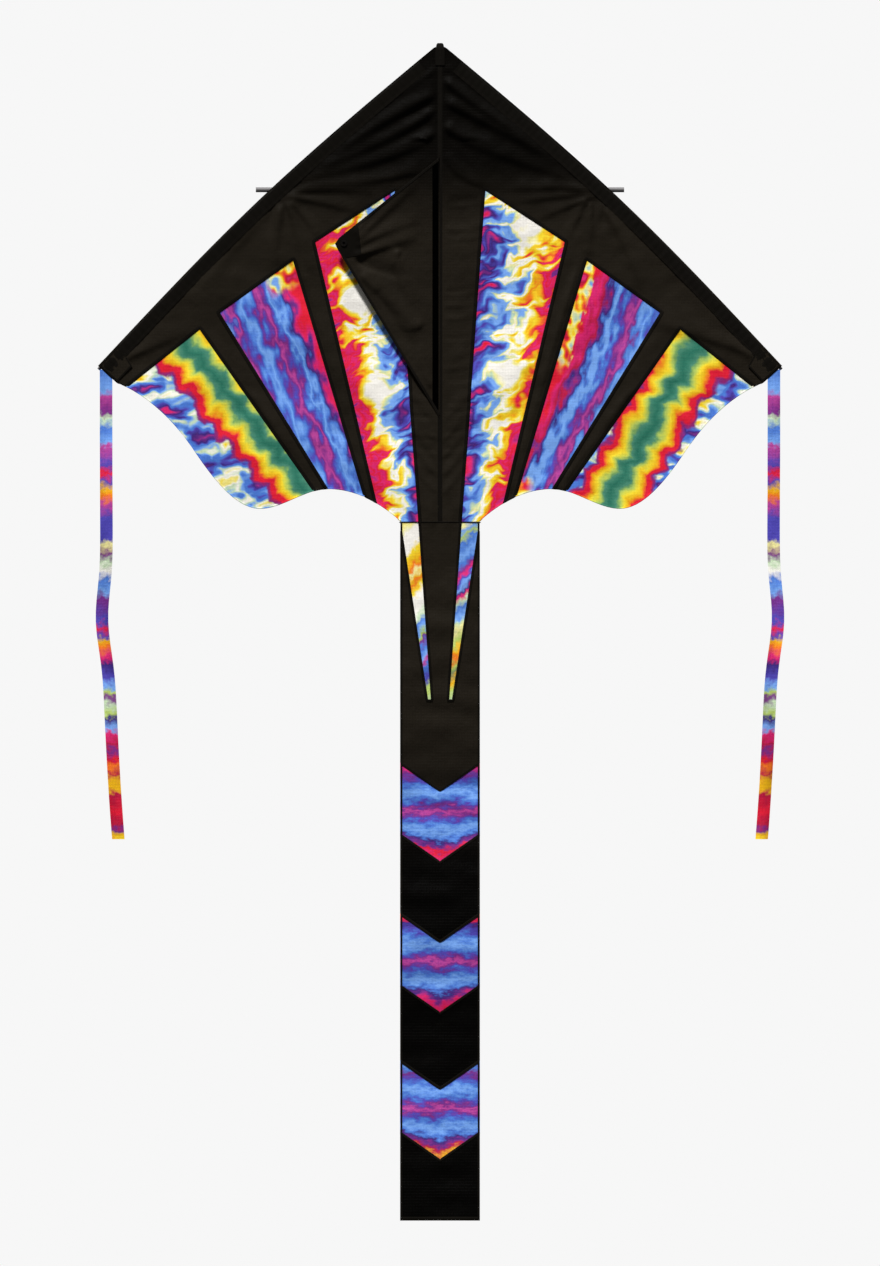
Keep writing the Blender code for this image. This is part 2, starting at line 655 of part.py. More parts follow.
def streamer_section(side, word, number, parent):
    share0 = number / STREAMER_PARTS
    share1 = (number + 1) / STREAMER_PARTS
    top = STREAMER_TOP_DOWN + STREAMER_LENGTH * share0 + FLEX_GAP
    foot = STREAMER_TOP_DOWN + STREAMER_LENGTH * share1 - FLEX_GAP
    steps = 14
    downs = [top + (foot - top) * i / steps for i in range(steps + 1)]
    middles = [streamer_middle((down - STREAMER_TOP_DOWN) / STREAMER_LENGTH) for down in downs]
    half = STREAMER_WIDTH / 2
    outline = [(x + half, down) for x, down in zip(middles, downs)]
    outline += [(x - half, down) for x, down in reversed(list(zip(middles, downs)))]
    cloth(f"streamer_{word}_{number + 1}", mirrored(outline, side), "tie_dye_cloth", parent, thickness=TAPE)


# ---------------------------------------------------------------- the whole kite
clear_scene()
KITE = new_collection("delta_kite")
CUTTERS = new_collection("cutters")
PAINT = make_materials()
SIDES = ((-1, "left"), (1, "right"))
EDGE_ROD_INSET = EDGE_POCKET_BULGE + 0.0008
CROSSING_SHARE = leading_edge_share(lambda s: inside_leading_edge(s, EDGE_ROD_INSET).y - SPREADER_DOWN)

airframe = body_empty("airframe", (0, 0, 0))
spine_and_nose(airframe)
spreader_connector(airframe)
keel(body_empty("keel", (0, KEEL_Y, height(KEEL_TOP_DOWN)), airframe, math.pi + KEEL_REST))

for side, word in SIDES:
    wing = body_empty(f"wing_{word}", (side * FOLD_TOP_X, SAIL_Y, NOSE_TIP_Z), airframe)
    wing_cloth(side, word, wing)
    wing_frame(side, word, wing)
    hung_from = wing
    for number in range(STREAMER_PARTS):
        down = STREAMER_TOP_DOWN + STREAMER_LENGTH * number / STREAMER_PARTS
        place_at = (side * STREAMER_X, SAIL_Y, height(down))
        hung_from = body_empty(f"streamer_{word}_{number + 1}_hinge", place_at, hung_from)
        streamer_section(side, word, number, hung_from)

hung_from = airframe
for number, down in enumerate(TAIL_HINGES):
    hung_from = body_empty(f"tail_{number + 1}_hinge", (0, SAIL_Y, height(down)), hung_from)
    if number == 0:
        tail_first_section(hung_from)
    else:
        tail_section(number, hung_from)
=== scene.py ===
"""The looks of a delta kite: sailcloth, tie-dye panels, seams, tapes, ribbons and the finish of its frame.

Everything is in metres in the kite's own frame: +Z from tail to nose, the keel side faces -Y. Places on
the flat sail are (x, down), where down is the distance below the nose tip. Mirrored pieces take a side of
-1 (left) or 1 (right), and their patterns are drawn in (out, down), where out = side * x.
"""

import contextlib
import json
import math
import random

import bmesh
import bpy
import numpy as np
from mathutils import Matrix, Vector, geometry


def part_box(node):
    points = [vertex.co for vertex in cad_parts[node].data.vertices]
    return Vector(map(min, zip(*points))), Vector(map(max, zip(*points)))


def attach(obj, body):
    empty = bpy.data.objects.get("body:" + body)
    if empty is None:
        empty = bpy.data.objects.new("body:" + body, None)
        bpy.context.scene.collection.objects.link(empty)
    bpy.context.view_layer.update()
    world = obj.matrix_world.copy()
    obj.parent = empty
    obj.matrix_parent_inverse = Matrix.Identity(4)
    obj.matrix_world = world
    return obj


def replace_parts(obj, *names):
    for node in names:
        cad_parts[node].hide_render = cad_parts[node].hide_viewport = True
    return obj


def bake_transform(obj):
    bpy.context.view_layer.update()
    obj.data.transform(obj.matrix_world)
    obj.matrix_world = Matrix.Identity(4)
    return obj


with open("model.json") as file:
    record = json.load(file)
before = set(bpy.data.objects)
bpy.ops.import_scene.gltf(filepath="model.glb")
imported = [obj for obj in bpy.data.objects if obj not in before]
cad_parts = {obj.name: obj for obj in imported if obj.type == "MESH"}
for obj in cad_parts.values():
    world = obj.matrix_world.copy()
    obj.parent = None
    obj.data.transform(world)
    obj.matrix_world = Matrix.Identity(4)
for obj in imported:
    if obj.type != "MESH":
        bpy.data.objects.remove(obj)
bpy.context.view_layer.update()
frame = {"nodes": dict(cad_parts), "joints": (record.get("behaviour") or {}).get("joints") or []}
NODES = frame["nodes"]
SIDES = ((-1, "left"), (1, "right"))

# ---------------------------------------------------------------- sizes, in metres
MESH_STEP = 0.0042  # between the points of a cloth mesh
CLOTH = 0.0003  # thickness of a finished piece of cloth
SEAM_WIDTH = 0.005
HEM_WIDTH = 0.0024
OVER = 0.0004  # from the middle of the sailcloth to the underside of what is sewn on it
UNDER = -0.00032
PUCKER = 0.00006  # how much a line of stitches puckers the cloth, and how often
PUCKER_LENGTH = 0.0035
SLEEVE_WIDTH = 0.024
MOST_SAG = 0.0032  # the simulated sag is scaled to this, so that it stays clear of the rods
BEND = 0.012  # half the width over which cloth would turn at a tail fold; turn_at works it out but bends nothing
LAP = 0.0007  # how far black cloth reaches under its seams, and dyed cloth
DYE_LAP = 0.0008
EDGE_COSINE = 0.72  # turns the drop below the leading edge into the distance from it
FOLD_GAIN = 1.5  # what the listed depths of the folds are multiplied by, on the sail and on the keel
KEEL_FOLD_GAIN = 1.6
MOST_LIFT = 0.009  # how far a fold may stand up
NOSE_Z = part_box("nose_webbing")[1].z


# ---------------------------------------------------------------- reading the frame
def welded(node):
    """A working copy of a CAD node's mesh, with its corners joined."""
    mesh = bmesh.new()
    mesh.from_mesh(NODES[node].data)
    bmesh.ops.remove_doubles(mesh, verts=mesh.verts, dist=0.00002)
    return mesh


def cad_outline(node):
    """The outline of a flat CAD plate's front face, as (x, down) in order round it."""
    mesh = welded(node)
    front = min(vert.co.y for vert in mesh.verts)
    faces = {face for face in mesh.faces if all(vert.co.y < front + 0.0001 for vert in face.verts)}
    border = [edge for edge in mesh.edges if sum(face in faces for face in edge.link_faces) == 1]
    neighbours = {}
    for edge in border:
        a, b = edge.verts
        neighbours.setdefault(a, []).append(b)
        neighbours.setdefault(b, []).append(a)
    start = max(neighbours, key=lambda vert: vert.co.z)
    loop, before, here = [start], None, start
    while True:
        onward = [vert for vert in neighbours[here] if vert != before]
        before, here = here, onward[0]
        if here == start:
            break
        loop.append(here)
    points = [(vert.co.x, NOSE_Z - vert.co.z) for vert in loop]
    mesh.free()
    return points


def edge_reader(nodes, pick):
    """A function of x that gives the lowest or highest down of the CAD plates' outlines at that x."""
    lines = []
    for node in nodes:
        loop = cad_outline(node)
        lines += [(a, b) if a[0] < b[0] else (b, a) for a, b in zip(loop, loop[1:] + loop[:1])]
    lines = np.array([(a[0], a[1], b[0], b[1]) for a, b in lines if abs(a[0] - b[0]) > 1e-7])

    def read(x):
        hit = lines[(lines[:, 0] <= x + 1e-6) & (lines[:, 2] >= x - 1e-6)]
        share = (x - hit[:, 0]) / (hit[:, 2] - hit[:, 0])
        return float(pick(hit[:, 1] + share * (hit[:, 3] - hit[:, 1])))

    return read


SAIL_NODES = ["wing_panel_right", "tie_dye_inner_right", "tie_dye_middle_right", "tie_dye_outer_right"]
SAIL_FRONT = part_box("wing_panel_right")[0].y
SAIL_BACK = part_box("wing_panel_right")[1].y
SAIL_MIDDLE = (SAIL_FRONT + SAIL_BACK) / 2
TIP_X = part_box("wing_panel_right")[1].x
TAIL_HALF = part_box("tail_chevron_1")[1].x
TAIL_TOP = NOSE_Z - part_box("tail_yoke")[1].z
TAIL_END = NOSE_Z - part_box("tail_black_3_below")[0].z
FOLDS = {joint["name"]: joint for joint in frame["joints"]}
FITTING = (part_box("spreader_fitting_right")[0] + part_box("spreader_fitting_right")[1]) / 2
FITTING_PLACE = (FITTING.x, NOSE_Z - FITTING.z)
KEEL_TOP = NOSE_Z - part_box("keel_panel")[1].z
KEEL_FOOT = NOSE_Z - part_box("keel_panel")[0].z
KEEL_REACH = -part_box("keel_panel")[0].x
EDGE_ROD_Y = (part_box("edge_rod_right")[0].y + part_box("edge_rod_right")[1].y) / 2
SPINE_Y = (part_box("spine_rod")[0].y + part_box("spine_rod")[1].y) / 2
ROD_INSET = 0.0043  # from the leading edge to the middle of its rod
TAIL_HINGES = [NOSE_Z - FOLDS[f"tail_flex_{n}"]["pos_m"][2] for n in (1, 2, 3, 4)]
YOKE_CUT = (TAIL_HINGES[0] + TAIL_HINGES[1]) / 2  # where the yoke's cloth is divided between two folds
STREAMER_X = FOLDS["streamer_right_flex_1"]["pos_m"][0]

inner_x = np.linspace(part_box("wing_panel_right")[0].x + 0.001, TIP_X - 0.0001, 140)
leading_at = edge_reader(["wing_panel_right"], min)
trailing_at = edge_reader(SAIL_NODES, max)
LEADING_X = np.concatenate([[0.0], inner_x])
LEADING_DOWN = np.array([0.0] + [leading_at(x) for x in inner_x])
TRAILING_X = np.linspace(TAIL_HALF + 0.0006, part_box("wingtip_patch_right")[1].x - 0.033, 140)
TRAILING_DOWN = np.array([trailing_at(x) for x in TRAILING_X])
LEADING_LENGTH = float(np.hypot(np.diff(LEADING_X), np.diff(LEADING_DOWN)).sum())


# ---------------------------------------------------------------- the shape of the sail
def distance_to_line(x, down, a, b):
    """Distance from points to the segment a-b, and their share of the way along it."""
    run, drop = b[0] - a[0], b[1] - a[1]
    share = np.clip(((x - a[0]) * run + (down - a[1]) * drop) / (run * run + drop * drop), 0, 1)
    return np.hypot(x - a[0] - share * run, down - a[1] - share * drop), share


def crease(x, down, path, width, depth, fade):
    """A fold along a bent path, deepest near its start and steeper below.

    A positive depth stands towards the viewer."""
    total = np.zeros_like(x)
    legs = len(path) - 1
    for leg, (a, b) in enumerate(zip(path, path[1:])):
        distance, share = distance_to_line(x, down, a, b)
        along = (leg + share) / legs
        strength = np.minimum(along * 12, 1) * (1 - along) ** fade
        turn = (b[0] - a[0]) * (down - a[1]) - (b[1] - a[1]) * (x - a[0])
        below = turn * (b[0] - a[0]) > 0
        spread = width * (0.7 + 0.6 * along) * np.where(below, 0.8, 1.8)
        shape = depth * strength * np.exp(-((distance / spread) ** 2))
        total = np.where(np.abs(shape) > np.abs(total), shape, total)
    return total


def bent(start, bend, end, legs=7):
    """Points along a curve from start to end that is pulled towards bend."""
    path = []
    for i in range(legs + 1):
        t = i / legs
        weights = ((1 - t) ** 2, 2 * t * (1 - t), t * t)
        path.append(tuple(sum(w * p[k] for w, p in zip(weights, (start, bend, end))) for k in (0, 1)))
    return path


# The long folds of each wing, as start, bend and end in millimetres out and down, then width and depth.
LONG_FOLDS = {
    -1: (
        ((4, 40), (85, 92), (200, 166), 9, 4.2),
        ((4, 84), (110, 140), (236, 212), 10, 4.6),
        ((4, 112), (85, 172), (224, 214), 8, 3.8),
        ((4, 150), (80, 206), (236, 228), 9, 4.2),
        ((30, 214), (110, 244), (250, 240), 8, 2.8),
        ((262, 256), (200, 246), (112, 252), 7, 3.0),
        ((262, 262), (210, 270), (140, 286), 6, 2.4),
        ((258, 268), (226, 300), (212, 330), 6, 2.6),
        ((268, 272), (284, 330), (282, 380), 7, 2.6),
        ((262, 270), (240, 330), (228, 392), 7, 3.2),
        ((292, 282), (352, 330), (402, 420), 14, 2.6),
        ((310, 290), (400, 360), (470, 452), 12, 2.2),
        ((556, 548), (500, 520), (420, 486), 9, 2.6),
    ),
    1: (
        ((4, 36), (70, 78), (150, 134), 8, 4.2),
        ((4, 60), (70, 120), (186, 172), 9, 4.6),
        ((4, 98), (100, 144), (250, 220), 10, 4.4),
        ((4, 140), (50, 178), (228, 230), 9, 4.0),
        ((4, 190), (40, 240), (92, 246), 7, 2.6),
        ((262, 250), (190, 242), (102, 250), 7, 2.8),
        ((262, 256), (200, 262), (118, 272), 6, 2.6),
        ((262, 262), (220, 276), (160, 304), 6, 2.6),
        ((258, 268), (258, 310), (254, 362), 6, 3.4),
        ((252, 268), (232, 300), (216, 338), 6, 2.4),
        ((276, 272), (338, 372), (366, 466), 10, 2.8),
        ((296, 280), (380, 340), (462, 436), 12, 2.4),
        ((556, 540), (460, 500), (352, 470), 11, 3.2),
    ),
}
# Folds down the black ribs between the panels.
RIB_FOLDS = (
    ((240, 372), (186, 540), (124, 764), 5, 2.0),
    ((330, 590), (260, 690), (202, 762), 6, 1.6),
)


def fold_list(side):
    """The creases of one wing in metres (out, down): path, width, depth and how fast they fade."""
    pick = random.Random(7 + side)
    creases = []
    for start, bend, end, width, depth in LONG_FOLDS[side] + RIB_FOLDS:
        path = [(x / 1000, down / 1000) for x, down in bent(start, bend, end)]
        creases.append((path, width / 1000, depth * FOLD_GAIN / 1000, 0.45))
    # A fan of small folds round the spreader's end.
    fx, fd = FITTING_PLACE
    for turn in range(-14, 150, 8):
        angle = math.radians(turn + pick.uniform(-3, 3))
        reach = pick.uniform(0.05, 0.11)
        way = (-math.cos(angle), math.sin(angle))
        places = [(fx + way[0] * r, fd + way[1] * r) for r in (0.012, reach / 2, reach)]
        depth = pick.choice((1, -1)) * pick.uniform(0.0010, 0.0020)
        creases.append((bent(*places, legs=3), pick.uniform(0.003, 0.005), depth, 0.8))
    # Short ripples beside the spine.
    for number in range(17):
        down = 0.26 + number * 0.027 + pick.uniform(-0.007, 0.007)
        reach = pick.uniform(0.045, 0.080)
        path = bent((0.006, down), (reach / 2, down + 0.004), (reach, down - 0.008), legs=3)
        creases.append((path, pick.uniform(0.003, 0.005), pick.choice((1, -1)) * 0.0012, 0.5))
    # The Vs below the keel's foot.
    for number in range(5):
        down = KEEL_FOOT - 0.01 + number * 0.030
        path = bent((0.0, down + 0.02), (0.02, down + 0.01), (0.045, down - 0.035), legs=3)
        creases.append((path, 0.006, 0.0024, 0.5))
    # Ripples that run up from the trailing edge beside each rib.
    for foot in (0.118, 0.204):
        for number in range(4):
            x = foot + (number - 1.5) * 0.013
            down = float(np.interp(x, TRAILING_X, TRAILING_DOWN))
            end = (x + 0.02 + 0.04 * (foot > 0.15), down - pick.uniform(0.07, 0.13))
            path = bent((x, down), (x, down - 0.03), end, legs=3)
            creases.append((path, 0.005, pick.choice((1, -1)) * 0.0014, 0.8))
    return creases


FOLD_LISTS = {side: fold_list(side) for side, _ in SIDES}


def smooth_step(value, low, high):
    t = np.clip((value - low) / (high - low), 0, 1)
    return t * t * (3 - 2 * t)


def wave(x, down, size, seed):
    """A smooth irregular surface between about -1 and 1, from sines that don't repeat together."""
    pick = random.Random(seed)
    total = np.zeros_like(x)
    for _ in range(9):
        angle = pick.uniform(0, math.tau)
        scale = math.tau / (size * pick.uniform(0.7, 1.6))
        total += np.sin((x * math.cos(angle) + down * math.sin(angle)) * scale + pick.uniform(0, math.tau))
    return total / 4.5


def sail_lift(x, down):
    """How far the sail stands towards the viewer from its flat plane, at rest."""
    lift = np.zeros_like(x)
    for side, _ in SIDES:
        mine = (x * side) >= 0
        out = x[mine] * side
        deep = down[mine]
        total = wave(out, deep, 0.15, 11 + side) * 0.0020 + wave(out, deep, 0.045, 31 + side) * 0.0006
        for path, width, depth, fade in FOLD_LISTS[side]:
            total += crease(out, deep, path, width, depth, fade)
        lift[mine] = total
    out = np.abs(x)
    lift += SIMULATED(x, down)
    from_edge = (down - np.interp(out, LEADING_X, LEADING_DOWN)) * EDGE_COSINE
    free = smooth_step(from_edge, SLEEVE_WIDTH - 0.006, SLEEVE_WIDTH + 0.014) * smooth_step(out, 0.001, 0.014)
    lift *= 0.06 + 0.94 * free
    under_keel = (down > KEEL_TOP - 0.03) & (down < KEEL_FOOT + 0.03) & (out < KEEL_REACH + 0.02)
    keel_room = 0.0002 + 0.02 * out + 0.06 * np.maximum(out - 0.035, 0.0)
    most = np.where(under_keel, keel_room, MOST_LIFT)
    on_frame = smooth_step(np.abs(down - FITTING_PLACE[1]), 0.006, 0.03) * smooth_step(out, 0.010, 0.03)
    least = 0.0004 + 0.0055 * on_frame * free
    return np.where(lift > 0, most * np.tanh(lift / most), least * np.tanh(lift / least))


def tail_lift(x, down):
    """The tail's gentle waves, which die out where it is sewn to the sail."""
    lift = 0.0030 * np.sin(down * 13.0 + 1.0) + 0.0020 * wave(x, down, 0.22, 5)
    lift += 0.0012 * wave(x, down, 0.06, 6)
    return lift * smooth_step(down, TAIL_TOP, TAIL_TOP + 0.09)


def cloth_lift(x, down):
    join = smooth_step(down, TAIL_TOP - 0.004, TAIL_TOP + 0.02)
    return sail_lift(x, np.minimum(down, TAIL_TOP + 0.03)) * (1 - join) + tail_lift(x, down) * join


# ---------------------------------------------------------------- cloth simulation of the sail
SHEET_STEP = 0.012
SHEET_XS = np.arange(-0.588, 0.589, SHEET_STEP)
SHEET_DOWNS = np.arange(0.0, 0.83, SHEET_STEP)
SETTLING_FRAMES = 30


def is_held(x, down):
    """Whether the sheet is held there: at the leading edge, the spine, the fittings and the tail's seam."""
    out = abs(x)
    from_edge = (down - np.interp(out, LEADING_X, LEADING_DOWN)) * EDGE_COSINE
    near_fitting = math.hypot(out - FITTING_PLACE[0], down - FITTING_PLACE[1]) < 0.02
    at_tail = down > TAIL_TOP - SHEET_STEP and out < TAIL_HALF + 0.01
    return from_edge < SHEET_STEP or out < SHEET_STEP * 0.9 or near_fitting or at_tail


def sail_sheet():
    """A coarse sheet in the sail's shape, with its held points grouped, and its points' grid places."""
    mesh = bmesh.new()
    verts = {}
    for i, x in enumerate(SHEET_XS):
        top = np.interp(abs(x), LEADING_X, LEADING_DOWN)
        foot = np.interp(abs(x), TRAILING_X, TRAILING_DOWN)
        for j, down in enumerate(SHEET_DOWNS):
            if top - SHEET_STEP < down < foot + SHEET_STEP:
                verts[i, j] = mesh.verts.new((x, 0, NOSE_Z - down))
    mesh.verts.index_update()
    for i, j in verts:
        corners = [(i, j), (i + 1, j), (i + 1, j + 1), (i, j + 1)]
        if all(corner in verts for corner in corners):
            mesh.faces.new([verts[corner] for corner in corners])
    data = bpy.data.meshes.new("sail_sheet")
    mesh.to_mesh(data)
    mesh.free()
    sheet = bpy.data.objects.new("sail_sheet", data)
    bpy.context.scene.collection.objects.link(sheet)
    pinned = [n for n, (i, j) in enumerate(verts) if is_held(SHEET_XS[i], SHEET_DOWNS[j])]
    sheet.vertex_groups.new(name="held").add(pinned, 1.0, "REPLACE")
    return sheet, list(verts)


def simulate_sail():
    """Lets a sheet sag from where the frame holds it, and returns its sag as a function of (x, down)."""
    sheet, places = sail_sheet()
    cloth = sheet.modifiers.new("cloth", "CLOTH").settings
    cloth.vertex_group_mass = "held"
    cloth.quality = 6
    cloth.mass = 0.05
    cloth.tension_stiffness = cloth.compression_stiffness = 12
    cloth.shear_stiffness = 6
    cloth.bending_stiffness = 0.03
    cloth.shrink_min = -0.012
    bpy.context.scene.gravity = (0, 2.5, -9.8)
    for number in range(1, SETTLING_FRAMES + 1):
        bpy.context.scene.frame_set(number)
    shape = sheet.evaluated_get(bpy.context.evaluated_depsgraph_get())
    sag = np.zeros((len(SHEET_XS), len(SHEET_DOWNS)))
    for (i, j), vert in zip(places, shape.to_mesh().vertices):
        sag[i, j] = -vert.co.y
    shape.to_mesh_clear()
    bpy.data.objects.remove(sheet)
    bpy.context.scene.frame_set(1)
    sag *= MOST_SAG / np.abs(sag).max()

    def read(x, down):
        across = np.clip((x - SHEET_XS[0]) / SHEET_STEP, 0, len(SHEET_XS) - 1.001)
        along = np.clip((down - SHEET_DOWNS[0]) / SHEET_STEP, 0, len(SHEET_DOWNS) - 1.001)
        i, j = across.astype(int), along.astype(int)
        u, v = across - i, along - j
        top = sag[i, j] * (1 - u) + sag[i + 1, j] * u
        foot = sag[i, j + 1] * (1 - u) + sag[i + 1, j + 1] * u
        return top * (1 - v) + foot * v

    return read


SIMULATED = simulate_sail()


# ---------------------------------------------------------------- making cloth pieces
def grown(loop, amount):
    """The loop pushed outwards on every side."""
    points = [Vector(p) for p in loop]
    area = sum(a.x * b.y - b.x * a.y for a, b in zip(points, points[1:] + points[:1]))
    turn = -1 if area > 0 else 1
    moved = []
    for i, point in enumerate(points):
        before = (point - points[i - 1]).normalized()
        after = (points[(i + 1) % len(points)] - point).normalized()
        sides = [Vector((-d.y, d.x)) * turn for d in (before, after)]
        middle = (sides[0] + sides[1]).normalized()
        moved.append(point + middle * amount / max(0.5, middle.dot(sides[0])))
    return moved


def resampled(path, step=0.004, closed=False):
    """The path with extra points, so that none are further apart than step."""
    points = [Vector(p) for p in path]
    ends = points[1:] + points[:1] if closed else points[1:]
    even = []
    for a, b in zip(points, ends):
        count = max(1, math.ceil((b - a).length / step))
        even += [a.lerp(b, i / count) for i in range(count)]
    return even if closed else even + [points[-1]]


def inside(spots, ring):
    """Which spots lie inside a closed ring, by counting crossings."""
    x, y = spots[:, 0], spots[:, 1]
    odd = np.zeros(len(spots), bool)
    for (x0, y0), (x1, y1) in zip(ring, np.roll(ring, -1, axis=0)):
        if y0 != y1:
            crosses = ((y0 > y) != (y1 > y)) & (x < (x1 - x0) * (y - y0) / (y1 - y0) + x0)
            odd ^= crosses
    return odd


def net(loops, step=MESH_STEP, cut=None, above=True):
    """Fills the union of closed loops with even triangles, on one side of a level cut: points and faces."""
    points, faces = [], []
    for loop in loops:
        ring = resampled(loop, step, closed=True)
        faces.append(list(range(len(points), len(points) + len(ring))))
        points += ring
    low = [min(p[k] for p in points) for k in (0, 1)]
    high = [max(p[k] for p in points) for k in (0, 1)]
    edges = []
    if cut:
        line = resampled([(low[0] - step, cut), (high[0] + step, cut)], step)
        edges = [(len(points) + i, len(points) + i + 1) for i in range(len(line) - 1)]
        points += line
    row_step = step * 0.866
    rows = int((high[1] - low[1]) / row_step) + 1
    columns = int((high[0] - low[0]) / step) + 2
    places = [(i + 0.5 * (j % 2), j) for j in range(rows) for i in range(columns)]
    spots = np.array([(low[0] + i * step, low[1] + j * row_step) for i, j in places])
    rim = np.array([(p.x, p.y) for p in points])
    keep = np.zeros(len(spots), bool)
    for loop in loops:
        keep |= inside(spots, np.array([(p[0], p[1]) for p in loop]))
    block_size = 2000
    for start in range(0, len(spots), block_size):
        block = slice(start, start + block_size)
        gaps = np.hypot(*(spots[block, None, :] - rim[None, :, :]).transpose(2, 0, 1)).min(1)
        keep[block] &= gaps > step * 0.55
    points += [Vector(spot) for spot in spots[keep]]
    result = geometry.delaunay_2d_cdt(points, edges, faces, 1, 0.00001)
    places = result[0]
    centres = np.array([[sum(places[v][k] for v in face) / 3 for k in (0, 1)] for face in result[2]])
    wanted = np.zeros(len(centres), bool)
    for loop in loops:
        wanted |= inside(centres, np.array([(p[0], p[1]) for p in loop]))
    if cut:
        wanted &= (centres[:, 1] < cut) == above
    kept = [face for face, want in zip(result[2], wanted) if want]
    used = sorted({v for face in kept for v in face})
    number = {v: i for i, v in enumerate(used)}
    return [(places[v].x, places[v].y) for v in used], [[number[v] for v in face] for face in kept]


def borders(points, faces):
    """The closed outlines of a net, each in order with the cloth on its left."""
    sides = {(a, b) for face in faces for a, b in zip(face, face[1:] + face[:1])}
    onward = {a: b for a, b in sides if (b, a) not in sides}
    loops = []
    while onward:
        start, here = onward.popitem()
        loop = [points[start]]
        while here != start:
            loop.append(points[here])
            here = onward.pop(here)
        loops.append(loop)
    return loops


def add_object(name, verts, faces, pattern):
    """A mesh object whose points remember where they were on the flat cloth, in millimetres."""
    data = bpy.data.meshes.new(name)
    data.from_pydata(verts, [], faces)
    attribute = data.attributes.new("cloth", "FLOAT_VECTOR", "POINT")
    attribute.data.foreach_set("vector", (np.asarray(pattern, np.float32) * 1000).ravel())
    obj = bpy.data.objects.new(name, data)
    bpy.context.scene.collection.objects.link(obj)
    return obj


@contextlib.contextmanager
def editing(obj):
    """Opens a piece's mesh for editing and writes it back."""
    mesh = bmesh.new()
    mesh.from_mesh(obj.data)
    yield mesh
    mesh.to_mesh(obj.data)
    mesh.free()


def face_viewer(obj):
    """Turns every face so that its outer side looks at the viewer."""
    with editing(obj) as mesh:
        mesh.normal_update()
        bmesh.ops.reverse_faces(mesh, faces=[face for face in mesh.faces if face.normal.y > 0])


def grid_faces(rows, columns):
    """The faces between rows of places that have the same number of columns."""
    cells = [(i * columns + k, (i + 1) * columns + k) for i in range(rows - 1) for k in range(columns - 1)]
    return [(here, here + 1, below + 1, below) for here, below in cells]


def in_space(x, y, down):
    """Arrays of places as points."""
    return np.column_stack([x, y, NOSE_Z - down]).tolist()


def thicken(obj, thickness):
    """Turns an open sheet into a closed piece with smooth faces and crisp edges."""
    solid = obj.modifiers.new("thickness", "SOLIDIFY")
    solid.thickness = thickness
    solid.offset = 0
    with bpy.context.temp_override(object=obj, active_object=obj, selected_objects=[obj]):
        bpy.ops.object.modifier_apply(modifier=solid.name)
    for polygon in obj.data.polygons:
        polygon.use_smooth = True
    obj.data.set_sharp_from_angle(angle=math.radians(50))


def finish_piece(obj, material, thickness=CLOTH):
    """Gives a piece its finish, its material slot and, unless that comes later, its thickness."""
    obj.data.materials.append(material)
    if thickness:
        thicken(obj, thickness)
    return obj


def trailing_limit(x):
    """The lowest place of the sail at each x, and no limit where the tail or a streamer hangs."""
    out = np.abs(x)
    return np.where(out < TAIL_HALF + 0.004, 9.0, np.interp(out, TRAILING_X, TRAILING_DOWN, right=9.0))


def cloth_piece(name, sheet, material, layer=0.0, side=1, seed=0.0):
    """A flat-cut net on the sail's or tail's surface. A positive layer lies nearer the viewer."""
    points, faces = sheet
    x, down = np.array(points).T
    down = np.minimum(down, trailing_limit(x))
    y = SAIL_MIDDLE - layer - cloth_lift(x, down)
    pattern = np.column_stack([x * side, down, np.full_like(x, seed / 1000)])
    obj = add_object(name, in_space(x, y, down), faces, pattern)
    face_viewer(obj)
    return finish_piece(obj, material)


def strip_piece(name, path, low, high, material, layer, lift, rise=0.0003, dyed=0):
    """A tape along a path of (x, down), from low to high on its right-hand side, with a crowned middle.

    A dyed strip carries on the pattern of the cloth on that side of the sail."""
    points = resampled(path)
    across = 5
    places, pattern = [], []
    length = 0.0
    for i, point in enumerate(points):
        length += (point - points[i - 1]).length if i else 0
        ahead = (points[min(i + 1, len(points) - 1)] - points[max(i - 1, 0)]).normalized()
        normal = Vector((ahead.y, -ahead.x))
        for k in range(across):
            share = k / (across - 1)
            place = point + normal * (low + (high - low) * share)
            crown = rise * math.sin(math.pi * share) + PUCKER * math.sin(length * math.tau / PUCKER_LENGTH)
            places.append((place.x, place.y, layer + crown))
            pattern.append((length, (share - 0.5) * abs(high - low), 0.0))
    x, down, above = np.array(places).T
    down = np.minimum(down, trailing_limit(x))
    x = np.where(down > TAIL_TOP, np.clip(x, -TAIL_HALF, TAIL_HALF), x)
    y = SAIL_MIDDLE - above - lift(x, down)
    if dyed:
        pattern = np.column_stack([x * dyed, down, np.full_like(x, dyed / 1000)])
    obj = add_object(name, in_space(x, y, down), grid_faces(len(points), across), pattern)
    face_viewer(obj)
    return finish_piece(obj, material)


def band_piece(name, rows, material, thickness, pattern=None):
    """A band lofted through rows of places, each row with as many places as the next."""
    verts = [tuple(place) for row in rows for place in row]
    if pattern is None:
        run = np.cumsum([0.0] + [(Vector(b[0]) - Vector(a[0])).length for a, b in zip(rows, rows[1:])])
        pattern = []
        for length, row in zip(run, rows):
            total = sum((Vector(b) - Vector(a)).length for a, b in zip(row, row[1:]))
            here = -total / 2
            for k, place in enumerate(row):
                here += (Vector(place) - Vector(row[k - 1])).length if k else 0
                pattern.append((length, here, 0.0))
    obj = add_object(name, verts, grid_faces(len(rows), len(rows[0])), pattern)
    with editing(obj) as mesh:
        bmesh.ops.recalc_face_normals(mesh, faces=mesh.faces)
    return finish_piece(obj, material, thickness)


